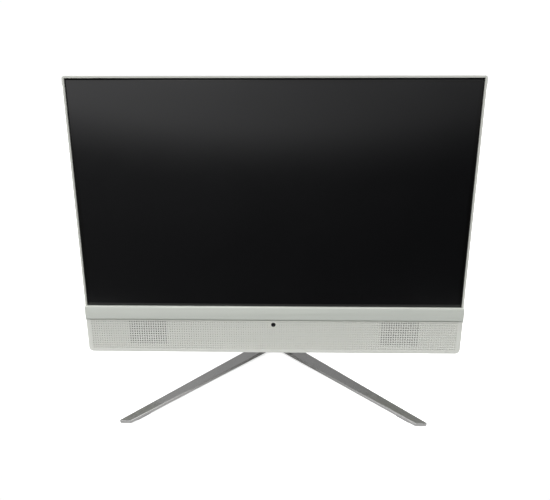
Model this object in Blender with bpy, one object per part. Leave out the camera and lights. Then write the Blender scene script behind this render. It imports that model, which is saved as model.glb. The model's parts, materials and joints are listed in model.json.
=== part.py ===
"""All-in-one desktop computer: a slim display head with a speaker chin, tilting on a V-legged desk stand.

Metres, +Z up, +X to the user's right, the screen facing -Y. The origin is on the desk, midway between the
leg tips and the back of the stand. The head is drawn upright in its own frame (x, depth back from the frame's
front edge, height above the chin's lower edge), and then leans back about the hinge axis.
"""

import math

import bmesh
import bpy
from mathutils import Matrix, Vector

# ---------------------------------------------------------------- driving dimensions
GAP = 0.0003  # clearance between pieces that touch or sit in each other

# display head, front
HEAD_WIDTH = 0.4892
HEAD_HEIGHT = 0.3465
FRAME_DEPTH = 0.013
FRAME_WALL = 0.0024
FRAME_SHELF = 0.005  # ledge that carries the panel and the chassis
FRAME_SHELF_THICKNESS = 0.0032
CORNER_TOP = 0.003
CORNER_LOW = 0.006
CHIN_HEIGHT = 0.064
BAND_HEIGHT = 0.0187
BAND_PROUD = 0.0034
GRILLE_PROUD = 0.0022
CHIN_GROOVE = 0.0005
PANEL_RECESS = 0.0008
PANEL_THICKNESS = 0.0018
PANEL_UNDER_CHIN = 0.008

# display head, back
COVER_UPPER_DEPTH = 0.0067  # the cover's own depth behind the frame, at the thin top
COVER_BODY_DEPTH = 0.0287  # and at the deep lower body
SHELL_WALL = 0.0024
BODY_SLOPE = 0.050  # height over which the deep body runs out into the thin top
BODY_SIDE_INSET = 0.0014
BODY_LOW_INSET = 0.0015
BODY_DRAFT = 0.004
EDGE_INSET = 0.002
BODY_BEVEL = 0.004
IO_POCKET_INSET = 0.0186  # from the head's left edge
IO_POCKET_WIDTH = 0.120
IO_POCKET_TOP = 0.057
IO_POCKET_DEPTH = 0.0057  # behind the frame
VENT_SLOT = 0.0022
VENT_PITCH = 0.005

# inside the head
CHASSIS_THICKNESS = 0.0012
CHASSIS_UNDER_PANEL = 0.010
BOARD_THICKNESS = 0.0016
STANDOFF = 0.0047
BOARD_INSET = 0.0086  # from the head's left edge
BOARD_TO_HINGE_PLATE = 0.010
BOARD_ABOVE_POCKET = 0.003
SHEET = 0.0008  # sheet metal of the drive case
SOCKET_WALL = 0.0006
SOCKET_RECESS = 0.0004

# hinge
REST_TILT = math.radians(12)
HINGE_HEIGHT = 0.092  # above the chin's lower edge
HINGE_CLEARANCE = 0.003  # between the body's back and the knuckle
KNUCKLE_RADIUS = 0.009
KNUCKLE_WIDTH = 0.060
SHAFT_RADIUS = 0.004
WASHER_THICKNESS = 0.001
WASHER_RADIUS = 0.008
LUG_THICKNESS = 0.006
HINGE_PLATE_THICKNESS = 0.0025
HINGE_PLATE_HALF_HEIGHT = 0.028
HINGE_SCREW_TO_ARM = 0.0064
HINGE_SCREW_MARGIN = 0.008
NUT_THICKNESS = 0.0045
NUT_RADIUS = 0.0068
SCREW_RADIUS = 0.0016
SCREW_HEAD_RADIUS = 0.0031
SCREW_HEAD_HEIGHT = 0.0018

# stand
DESK_GAP = 0.065  # desk to the chin's front lower edge at rest
CHIN_SETBACK = 0.0290  # that edge's distance in front of the origin
STAND_FRONT = 0.0925
STAND_BACK = 0.0925
BASE_THICKNESS = 0.0045
BASE_LIFT = 0.002
FOOT_RECESS = 0.0015
LEG_TIP_INNER = 0.179  # half the distance between the legs' inner edges at the tips
LEG_TIP_WIDTH = 0.0168
LEG_ROOT_DEPTH = 0.0284  # from the inner edges' meeting point to the outer edges'
HEEL_DEPTH = 0.0312
HEEL_WIDTH = 0.060
NECK_INSET = 0.004  # each side, from the knuckle's ends
NECK_THICKNESS = 0.004
NECK_BEND = 0.012

# optical drive
DRIVE_WIDTH = 0.128  # along the head's height
DRIVE_LENGTH = 0.127
DRIVE_HEIGHT = 0.0127
DRIVE_LOW = 0.095
DRIVE_PAD = 0.0012  # raised pads of the chassis under the drive
DRIVE_ABOVE_CREST = 0.009  # how far the drive reaches up behind the body's slope
TRAY_FRONT_THICKNESS = 0.0036
DISC_RADIUS = 0.0606
TRAY_HUB_RADIUS = 0.0073

# speakers, camera, cooling
SPEAKER_INSET = 0.0791  # from the head's sides to the speakers' middles
SPEAKER_WIDTH = 0.060
SPEAKER_SETBACK = 0.0034
SPEAKER_BELOW_GRILLE_TOP = 0.0028
DRIVER_LENGTH = 0.042
DRIVER_HEIGHT = 0.026
CAMERA_RADIUS = 0.0028
CAMERA_BELOW_GRILLE_TOP = 0.0053
FAN_BLADES = 11
FAN_MARGIN = 0.008  # from the rotor to the blower housing's side
FAN_SHAFT_RADIUS = 0.002
BLOWER_SIZE = 0.068
BLOWER_BELOW_CREST = 0.006
BLOWER_TO_COVER = 0.0062
BLOWER_WALL = 0.001
FIN_STACK_HEIGHT = 0.0145
FIN_COUNT = 15
HEAT_PIPE_RADIUS = 0.0025

# ---------------------------------------------------------------- values worked out from them
HALF_WIDTH = HEAD_WIDTH / 2
COVER_RIM = FRAME_DEPTH + GAP
UPPER_DEPTH = COVER_RIM + COVER_UPPER_DEPTH
BODY_DEPTH = COVER_RIM + COVER_BODY_DEPTH
BODY_SIDE = HALF_WIDTH - BODY_SIDE_INSET
BODY_CREST = DRIVE_LOW + DRIVE_WIDTH - DRIVE_ABOVE_CREST  # where the deep body's back face ends
BODY_TOP = BODY_CREST + BODY_SLOPE  # where its slope meets the thin upper part
PANEL_LOW = CHIN_HEIGHT - PANEL_UNDER_CHIN
BAND_LOW = CHIN_HEIGHT - BAND_HEIGHT
GRILLE_TOP = BAND_LOW - CHIN_GROOVE
CAMERA_HEIGHT = GRILLE_TOP - CAMERA_BELOW_GRILLE_TOP
CHASSIS_DEPTH = FRAME_DEPTH + GAP
CHASSIS_BACK = CHASSIS_DEPTH + CHASSIS_THICKNESS
BOARD_FRONT = CHASSIS_BACK + STANDOFF + GAP
BOARD_BACK = BOARD_FRONT + BOARD_THICKNESS
ON_BOARD = BOARD_BACK + GAP  # where parts that stand on the board begin
LUG_INNER = KNUCKLE_WIDTH / 2 + WASHER_THICKNESS + 2 * GAP
LUG_OUTER = LUG_INNER + LUG_THICKNESS
HINGE_SCREW_X = LUG_OUTER + HINGE_SCREW_TO_ARM
HINGE_PLATE_HALF_WIDTH = HINGE_SCREW_X + HINGE_SCREW_MARGIN
HINGE_DEPTH = BODY_DEPTH + HINGE_CLEARANCE + KNUCKLE_RADIUS
HINGE = Vector((0, HINGE_DEPTH, HINGE_HEIGHT))
IO_POCKET_LEFT = -HALF_WIDTH + IO_POCKET_INSET
IO_POCKET_RIGHT = IO_POCKET_LEFT + IO_POCKET_WIDTH
IO_POCKET_FRONT = COVER_RIM + IO_POCKET_DEPTH
BOARD_LEFT = -HALF_WIDTH + BOARD_INSET
BOARD_RIGHT = -HINGE_PLATE_HALF_WIDTH - BOARD_TO_HINGE_PLATE
BOARD_LOW = IO_POCKET_TOP + BOARD_ABOVE_POCKET
DRIVE_DEPTH = CHASSIS_BACK + DRIVE_PAD + GAP
BASE_TOP = BASE_LIFT + BASE_THICKNESS
LEG_TIP_OUTER = LEG_TIP_INNER + LEG_TIP_WIDTH
LEG_INNER_APEX = STAND_BACK - HEEL_DEPTH
LEG_OUTER_APEX = LEG_INNER_APEX + LEG_ROOT_DEPTH
NECK_WIDTH = KNUCKLE_WIDTH - 2 * NECK_INSET

WHITE = ("white_plastic", (0.78, 0.79, 0.76), 0.45, 0.0)
BLACK = ("black_plastic", (0.03, 0.03, 0.03), 0.5, 0.0)
SCREEN = ("screen", (0.01, 0.01, 0.011), 0.3, 0.0)
SILVER = ("silver_metal", (0.55, 0.55, 0.54), 0.35, 1.0)
STEEL = ("steel", (0.5, 0.5, 0.5), 0.4, 1.0)
COPPER = ("copper", (0.72, 0.43, 0.28), 0.35, 1.0)
BOARD = ("circuit_board", (0.02, 0.16, 0.08), 0.5, 0.0)
RUBBER = ("rubber", (0.05, 0.05, 0.05), 0.8, 0.0)


# ---------------------------------------------------------------- making shapes
def material(spec):
    """The Principled material of that name, made on first use."""
    name, colour, roughness, metallic = spec
    found = bpy.data.materials.get(name)
    if found:
        return found
    made = bpy.data.materials.new(name)
    made.use_nodes = True
    shader = made.node_tree.nodes["Principled BSDF"]
    shader.inputs["Base Color"].default_value = (*colour, 1)
    shader.inputs["Roughness"].default_value = roughness
    shader.inputs["Metallic"].default_value = metallic
    made.diffuse_color = (*colour, 1)
    return made


def filleted(corners, steps=5):
    """A closed 2-D outline from (a, b, radius) corners, with each radius as an arc."""
    points = []
    count = len(corners)
    for i, (a, b, radius) in enumerate(corners):
        here = Vector((a, b))
        if radius <= 0:
            points.append(here)
            continue
        before = (Vector(corners[i - 1][:2]) - here).normalized()
        after = (Vector(corners[(i + 1) % count][:2]) - here).normalized()
        half_angle = before.angle(after) / 2
        centre = here + (before + after).normalized() * radius / math.sin(half_angle)
        start = here + before * radius / math.tan(half_angle) - centre
        sweep = start.angle_signed(here + after * radius / math.tan(half_angle) - centre)
        for step in range(steps + 1):
            turn = Matrix.Rotation(-sweep * step / steps, 2)
            points.append(centre + turn @ start)
    return points


def rectangle(a0, a1, b0, b1, radius=0.0):
    return [(a0, b0, radius), (a1, b0, radius), (a1, b1, radius), (a0, b1, radius)]


def circle(a, b, radius, sides=32):
    turn = 2 * math.pi / sides
    return [Vector((a + radius * math.cos(i * turn), b + radius * math.sin(i * turn))) for i in range(sides)]


def obround(a, b, length, width, angle=0.0, steps=8):
    """A slot shape, its long axis turned by angle from the first axis."""
    reach = (length - width) / 2
    points = []
    for end in (1, -1):
        for step in range(steps + 1):
            turn = math.pi * (step / steps - 0.5)
            across, beyond = width / 2 * math.sin(turn), width / 2 * math.cos(turn)
            points.append(Vector((end * (reach + beyond), end * across)))
    turned = Matrix.Rotation(-angle, 2)
    return [turned.transposed() @ p + Vector((a, b)) for p in points]


AXIS_PLACES = {
    "x": lambda a, b, along: Vector((along, a, b)),
    "y": lambda a, b, along: Vector((a, along, b)),
    "z": lambda a, b, along: Vector((a, b, along)),
}


def prism(outline, axis, start, end):
    """A bmesh of the outline extruded along an axis, from start to end."""
    place = AXIS_PLACES[axis]
    bm = bmesh.new()
    loop = [bm.verts.new(place(p[0], p[1], start)) for p in outline]
    face = bm.faces.new(loop)
    made = bmesh.ops.extrude_face_region(bm, geom=[face])
    moved = [v for v in made["geom"] if isinstance(v, bmesh.types.BMVert)]
    bmesh.ops.translate(bm, verts=moved, vec=place(0, 0, end - start))
    bmesh.ops.recalc_face_normals(bm, faces=bm.faces)
    return bm


def block(x0, x1, y0, y1, z0, z1):
    return prism([(x0, y0), (x1, y0), (x1, y1), (x0, y1)], "z", z0, z1)


def rod(axis, a, b, radius, start, end, sides=32):
    """A cylinder along an axis, centred on (a, b) of the other two."""
    return prism(circle(a, b, radius, sides), axis, start, end)


def loft(rings):
    """A closed bmesh through rings of equally many points."""
    bm = bmesh.new()
    loops = [[bm.verts.new(p) for p in ring] for ring in rings]
    for low, high in zip(loops, loops[1:]):
        for i in range(len(low)):
            j = (i + 1) % len(low)
            bm.faces.new((low[i], low[j], high[j], high[i]))
    bm.faces.new(loops[0])
    bm.faces.new(loops[-1])
    bmesh.ops.recalc_face_normals(bm, faces=bm.faces)
    return bm


def merged(*shapes):
    """One bmesh that holds several which stay apart, as for a pattern of holes."""
    whole = bmesh.new()
    scratch = bpy.data.meshes.new("scratch")
    for shape in shapes:
        shape.to_mesh(scratch)
        shape.free()
        whole.from_mesh(scratch)
    bpy.data.meshes.remove(scratch)
    return whole


def make_object(name, shape, origin, parent):
    """An object of that bmesh with its origin at a point of the parent's own frame."""
    bmesh.ops.translate(shape, verts=shape.verts, vec=-origin)
    mesh = bpy.data.meshes.new(name)
    shape.to_mesh(mesh)
    shape.free()
    obj = bpy.data.objects.new(name, mesh)
    bpy.context.scene.collection.objects.link(obj)
    obj.parent = parent
    obj.location = origin - Vector(parent["frame_origin"]) if parent else origin
    return obj


def add_boolean(obj, label, operation, shape, parent):
    """A Boolean modifier on an object. The shape, a bmesh or an object, becomes its hidden tool."""
    origin = obj.location + (Vector(parent["frame_origin"]) if parent else Vector())
    tool = shape
    if isinstance(shape, bmesh.types.BMesh):
        tool = make_object(f"{obj.name}_{label}", shape, origin, parent)
    tool.hide_render = True
    tool.display_type = "WIRE"
    boolean = obj.modifiers.new(label, "BOOLEAN")
    boolean.operation = operation
    boolean.object = tool
    boolean.solver = "EXACT"


def piece(name, shape, spec, parent=None, cuts=(), joins=(), bevel=0.0, origin=None, smooth=False):
    """One sub-part: a body, its edges bevelled, then joined with and cut by other shapes."""
    if origin is None:
        low = Vector(map(min, zip(*(v.co for v in shape.verts))))
        high = Vector(map(max, zip(*(v.co for v in shape.verts))))
        origin = (low + high) / 2
    obj = make_object(name, shape, Vector(origin), parent)
    obj.data.materials.append(material(spec))
    if bevel:
        rounding = obj.modifiers.new("edges", "BEVEL")
        rounding.width = bevel
        rounding.segments = 2
        rounding.limit_method = "ANGLE"
        rounding.angle_limit = math.radians(50)
    for number, tool in enumerate(joins):
        add_boolean(obj, f"join_{number}", "UNION", tool, parent)
    for number, tool in enumerate(cuts):
        add_boolean(obj, f"cut_{number}", "DIFFERENCE", tool, parent)
    if smooth:
        obj.data.shade_smooth()
        obj.data.set_sharp_from_angle(angle=math.radians(35))
    return obj


def frame_empty(name, location, tilt, frame_origin):
    """An empty on a joint's axis. frame_origin is its place in the frame that its children are drawn in."""
    empty = bpy.data.objects.new(name, None)
    bpy.context.scene.collection.objects.link(empty)
    empty.location = location
    empty.rotation_euler.x = tilt
    empty["frame_origin"] = list(frame_origin)
    return empty


# ---------------------------------------------------------------- stand
def leg_edge_x(y, tip_x, apex_y):
    """How far out a leg's straight edge is at depth y."""
    return tip_x * (apex_y - y) / (apex_y + STAND_FRONT)


def build_stand():
    """V-shaped base plate on rubber feet, and the bent neck that carries the hinge knuckle."""
    heel = HEEL_WIDTH / 2
    heel_join = LEG_OUTER_APEX - heel * (LEG_OUTER_APEX + STAND_FRONT) / LEG_TIP_OUTER
    right = [
        (LEG_TIP_INNER, -STAND_FRONT, 0.004),
        (LEG_TIP_OUTER, -STAND_FRONT, 0.0013),
        (heel, heel_join, 0.012),
        (heel, STAND_BACK, 0.004),
    ]
    left = [(-x, y, r) for x, y, r in reversed(right)]
    plan = filleted([(0, LEG_INNER_APEX, 0.010), *right, *left])

    leg_angle = math.atan2(LEG_INNER_APEX + STAND_FRONT, LEG_TIP_INNER)
    front_foot_y = -STAND_FRONT + 0.0165
    edges = (
        leg_edge_x(front_foot_y, LEG_TIP_INNER, LEG_INNER_APEX),
        leg_edge_x(front_foot_y, LEG_TIP_OUTER, LEG_OUTER_APEX),
    )
    front_foot_x = sum(edges) / 2
    foot_width = (edges[1] - edges[0]) * math.sin(leg_angle) - 0.0035
    rear_foot_y = STAND_BACK - 0.009
    feet = [
        ("foot_front_left", -front_foot_x, front_foot_y, 0.024, foot_width, leg_angle),
        ("foot_front_right", front_foot_x, front_foot_y, 0.024, foot_width, -leg_angle),
        ("foot_rear", 0.0, rear_foot_y, HEEL_WIDTH - 0.012, 0.009, 0.0),
    ]

    screw_y = LEG_INNER_APEX + 0.009
    screw_x = NECK_WIDTH / 2 - 0.009
    counterbore = 0.0024
    foot_pockets = (obround(x, y, length + 2 * GAP, width + 2 * GAP, angle)
                    for _, x, y, length, width, angle in feet)
    cuts = [
        merged(*(prism(outline, "z", 0, BASE_LIFT + FOOT_RECESS) for outline in foot_pockets)),
        merged(*(rod("z", side * screw_x, screw_y, SCREW_HEAD_RADIUS + GAP, 0, BASE_LIFT + counterbore)
                 for side in (-1, 1))),
        merged(*(rod("z", side * screw_x, screw_y, SCREW_RADIUS + GAP, BASE_LIFT, BASE_TOP + 0.002, 16)
                 for side in (-1, 1))),
    ]
    piece("stand_base", prism(plan, "z", BASE_LIFT, BASE_TOP), SILVER, cuts=cuts, bevel=0.0008)

    for name, x, y, length, width, angle in feet:
        shape = prism(obround(x, y, length, width, angle), "z", 0, BASE_LIFT + FOOT_RECESS - GAP)
        piece(name, shape, RUBBER)

    # The neck's centreline runs back along the heel, turns up and leans forward to the hinge axis.
    flange_bottom = BASE_TOP + GAP
    reach = NECK_BEND + NECK_THICKNESS / 2
    bend_centre = Vector((STAND_BACK - reach, flange_bottom + reach))
    hinge = hinge_in_world()
    to_hinge = hinge.yz - bend_centre
    lean = math.atan2(to_hinge.y, to_hinge.x) - math.asin(NECK_BEND / to_hinge.length)
    up = Vector((math.cos(lean), math.sin(lean)))
    back = Vector((up.y, -up.x))
    neck_end = hinge.yz - up * KNUCKLE_RADIUS / 2
    sides = []
    for offset in (NECK_THICKNESS / 2, -NECK_THICKNESS / 2):
        radius = NECK_BEND + offset
        turn = math.atan2(back.y, back.x) + math.pi / 2
        arc = [
            bend_centre + Vector((math.sin(turn * i / 8), -math.cos(turn * i / 8))) * radius
            for i in range(9)
        ]
        start = Vector((LEG_INNER_APEX + 0.002, bend_centre.y - radius))
        sides.append([start, *arc, neck_end + back * offset])
    profile = sides[0] + sides[1][::-1]
    knuckle = rod("x", hinge.y, hinge.z, KNUCKLE_RADIUS, -KNUCKLE_WIDTH / 2, KNUCKLE_WIDTH / 2, 40)
    bore = rod("x", hinge.y, hinge.z, SHAFT_RADIUS + GAP + 0.0001, -KNUCKLE_WIDTH, KNUCKLE_WIDTH)
    screw_depth = flange_bottom + NECK_THICKNESS - 0.001
    holes = merged(*(rod("z", side * screw_x, screw_y, SCREW_RADIUS + GAP, 0, screw_depth, 16)
                     for side in (-1, 1)))
    neck = prism(profile, "x", -NECK_WIDTH / 2, NECK_WIDTH / 2)
    piece("stand_neck", neck, SILVER, joins=[knuckle], cuts=[bore, holes])

    for side, label in ((-1, "left"), (1, "right")):
        x = side * screw_x
        head = rod("z", x, screw_y, SCREW_HEAD_RADIUS, BASE_LIFT + GAP, BASE_LIFT + counterbore - GAP, 24)
        shank = rod("z", x, screw_y, SCREW_RADIUS, BASE_LIFT + 0.001, screw_depth - GAP, 16)
        piece(f"base_screw_{label}", head, STEEL, joins=[shank])

    for side, label in ((-1, "left"), (1, "right")):
        inner = side * (KNUCKLE_WIDTH / 2 + GAP)
        outer = inner + side * WASHER_THICKNESS
        disc = rod("x", hinge.y, hinge.z, WASHER_RADIUS, inner, outer)
        hole = rod("x", hinge.y, hinge.z, SHAFT_RADIUS + 2 * GAP, inner - side * 0.002, outer + side * 0.002)
        piece(f"friction_washer_{label}", disc, STEEL, cuts=[hole])


def hinge_in_world():
    """The hinge axis, from where the chin's front lower edge stands at rest."""
    forward, down = HINGE_DEPTH + BAND_PROUD, HINGE_HEIGHT
    y = forward * math.cos(REST_TILT) + down * math.sin(REST_TILT) - CHIN_SETBACK
    z = DESK_GAP + down * math.cos(REST_TILT) - forward * math.sin(REST_TILT)
    return Vector((0, y, z))


# ---------------------------------------------------------------- head: front
def head_outline(inset=0.0, low=0.0):
    """The head's front outline, (x, height) corners, drawn inset from the edge."""
    half = HALF_WIDTH - inset
    top = HEAD_HEIGHT - inset
    return [
        (-half, low + inset, max(CORNER_LOW - inset, 0.001)),
        (half, low + inset, max(CORNER_LOW - inset, 0.001)),
        (half, top, max(CORNER_TOP - inset, 0.001)),
        (-half, top, max(CORNER_TOP - inset, 0.001)),
    ]


# name, distance of its middle from the head's right edge, length
BUTTONS = (("power_button", 0.0296, 0.012), ("brightness_up_button", 0.0486, 0.008),
           ("brightness_down_button", 0.0606, 0.008))
BUTTON_DEPTH = 0.005
BUTTON_HALF_DEPTH = 0.0022
BUTTON_PROUD = 0.001


def build_front(head):
    """Frame, chin, panel and what sits behind the chin."""
    shelf = FRAME_DEPTH - FRAME_SHELF_THICKNESS
    pocket = prism(filleted(rectangle(-HALF_WIDTH + FRAME_WALL, HALF_WIDTH - FRAME_WALL,
                                      FRAME_WALL, HEAD_HEIGHT - FRAME_WALL, 0.001), 2), "y", -0.002, shelf)
    inner = FRAME_WALL + FRAME_SHELF
    opening_side = HALF_WIDTH - inner
    opening = filleted(rectangle(-opening_side, opening_side, inner, HEAD_HEIGHT - inner, 0.002), 2)
    through = prism(opening, "y", -0.002, FRAME_DEPTH + 0.002)
    hole_half = BUTTON_HALF_DEPTH + GAP
    button_holes = merged(*(
        block(HALF_WIDTH - inset - length / 2, HALF_WIDTH - inset + length / 2,
              BUTTON_DEPTH - hole_half, BUTTON_DEPTH + hole_half, -0.003, FRAME_WALL + 0.001)
        for _, inset, length in BUTTONS))
    piece("mid_frame", prism(filleted(head_outline()), "y", 0, FRAME_DEPTH), WHITE, head,
          cuts=[pocket, through, button_holes])

    band = filleted([(-BAND_PROUD, BAND_LOW, 0.0006), (-GAP, BAND_LOW, 0),
                     (-GAP, CHIN_HEIGHT, 0), (-BAND_PROUD, CHIN_HEIGHT, 0.0015)], 4)
    piece("chin_band", prism(band, "x", -HALF_WIDTH, HALF_WIDTH), WHITE, head)

    grille = filleted([(-HALF_WIDTH, 0, CORNER_LOW), (HALF_WIDTH, 0, CORNER_LOW),
                       (HALF_WIDTH, GRILLE_TOP, 0), (-HALF_WIDTH, GRILLE_TOP, 0)])
    camera_hole = rod("y", 0, CAMERA_HEIGHT, CAMERA_RADIUS + GAP, -0.01, 0.01, 24)
    piece("speaker_grille", prism(grille, "y", -GRILLE_PROUD, -GAP), WHITE, head, cuts=[camera_hole])

    half_panel = HALF_WIDTH - FRAME_WALL - GAP
    panel_high = HEAD_HEIGHT - FRAME_WALL - GAP
    panel_back = PANEL_RECESS + PANEL_THICKNESS
    panel = prism(filleted(rectangle(-half_panel, half_panel, PANEL_LOW, panel_high, 0.001), 2),
                  "y", PANEL_RECESS, panel_back)
    piece("lcd_panel", panel, SCREEN, head)
    light = panel_back + GAP
    backlight = block(-half_panel, half_panel, light, shelf - GAP, PANEL_LOW, panel_high)
    piece("lcd_backlight", backlight, STEEL, head)

    piece("camera_board", block(-0.042, 0.042, 0, 0.001, CAMERA_HEIGHT - 0.005, CAMERA_HEIGHT + 0.005),
          BOARD, head)
    piece("camera_lens", rod("y", 0, CAMERA_HEIGHT, CAMERA_RADIUS, -GRILLE_PROUD - 0.0002, -GAP, 24),
          BLACK, head, smooth=True)

    for side, label in ((-1, "left"), (1, "right")):
        centre = side * (HALF_WIDTH - SPEAKER_INSET)
        low, high = FRAME_WALL + FRAME_SHELF + GAP, GRILLE_TOP - SPEAKER_BELOW_GRILLE_TOP
        half = SPEAKER_WIDTH / 2
        front, back = SPEAKER_SETBACK, IO_POCKET_FRONT - SHELL_WALL - 2 * GAP
        enclosure = block(centre - half, centre + half, front, back, low, high)
        middle = (low + high) / 2
        well_floor = front + 0.0046
        well = prism(obround(centre, middle, DRIVER_LENGTH, DRIVER_HEIGHT), "y", 0, well_floor)
        piece(f"speaker_box_{label}", enclosure, BLACK, head, cuts=[well], bevel=0.0008)
        steps = ((well_floor - GAP, 2 * GAP), (front + 0.0004, 2 * GAP), (front - 0.0003, 0.004),
                 (front + 0.0016, 0.012))
        cone_rings = []
        for y, inset in steps:
            ring = obround(centre, middle, DRIVER_LENGTH - inset, DRIVER_HEIGHT - inset)
            cone_rings.append([Vector((p[0], y, p[1])) for p in ring])
        piece(f"speaker_cone_{label}", loft(cone_rings), BLACK, head)


def build_buttons(head):
    """Keys in the chin's underside: a cap that stands proud, and a wider flange inside the frame."""
    for name, inset, length in BUTTONS:
        x = HALF_WIDTH - inset
        front, back = BUTTON_DEPTH - BUTTON_HALF_DEPTH, BUTTON_DEPTH + BUTTON_HALF_DEPTH
        cap = block(x - length / 2 + GAP, x + length / 2 - GAP, front, back,
                    -BUTTON_PROUD, FRAME_WALL + 0.0008)
        flange = block(x - length / 2 - 0.0008, x + length / 2 + 0.0008, front - 0.0006, back + 0.0006,
                       FRAME_WALL + GAP, FRAME_WALL + 0.0013)
        piece(name, cap, WHITE, head, joins=[flange])


# ---------------------------------------------------------------- head: back
def body_ring(depth, side, low, high):
    return [Vector((x, depth, z)) for x, z in ((-side, low), (side, low), (side, high), (-side, high))]


SIDE_SOCKETS = (("side_usb_socket_lower", 0.140), ("side_usb_socket_upper", 0.160))
USB_WIDTH, USB_HEIGHT, USB_LENGTH = 0.0132, 0.0062, 0.0135
REAR_USB = (("rear_usb_socket_outer", IO_POCKET_LEFT + 0.069),
            ("rear_usb_socket_inner", IO_POCKET_LEFT + 0.091))
LAN_LEFT, LAN_WIDTH, LAN_HEIGHT, LAN_LENGTH = IO_POCKET_LEFT + 0.023, 0.016, 0.0135, 0.018
HDMI_LEFT, HDMI_WIDTH, HDMI_HEIGHT, HDMI_LENGTH = IO_POCKET_LEFT + 0.046, 0.0152, 0.0066, 0.012
INLET_X, INLET_RADIUS, INLET_LENGTH = IO_POCKET_LEFT + 0.012, 0.0045, 0.015
JACK_HEIGHT, JACK_RADIUS, JACK_LENGTH = 0.127, 0.0034, 0.0135
CARD_LOW, CARD_WIDTH, CARD_HEIGHT, CARD_LENGTH = 0.186, 0.0265, 0.0034, 0.0135


BODY_ROOT = 0.003  # how far the deep body starts in front of the upper part's back face


def body_side_at(depth):
    """How far out the deep body's side is at a depth behind the frame's front edge."""
    start = UPPER_DEPTH - BODY_ROOT
    return BODY_SIDE - BODY_DRAFT * (depth - start) / (BODY_DEPTH - start)


SIDE_MOUTH = -body_side_at(ON_BOARD + 2 * JACK_RADIUS) + SOCKET_RECESS


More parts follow.
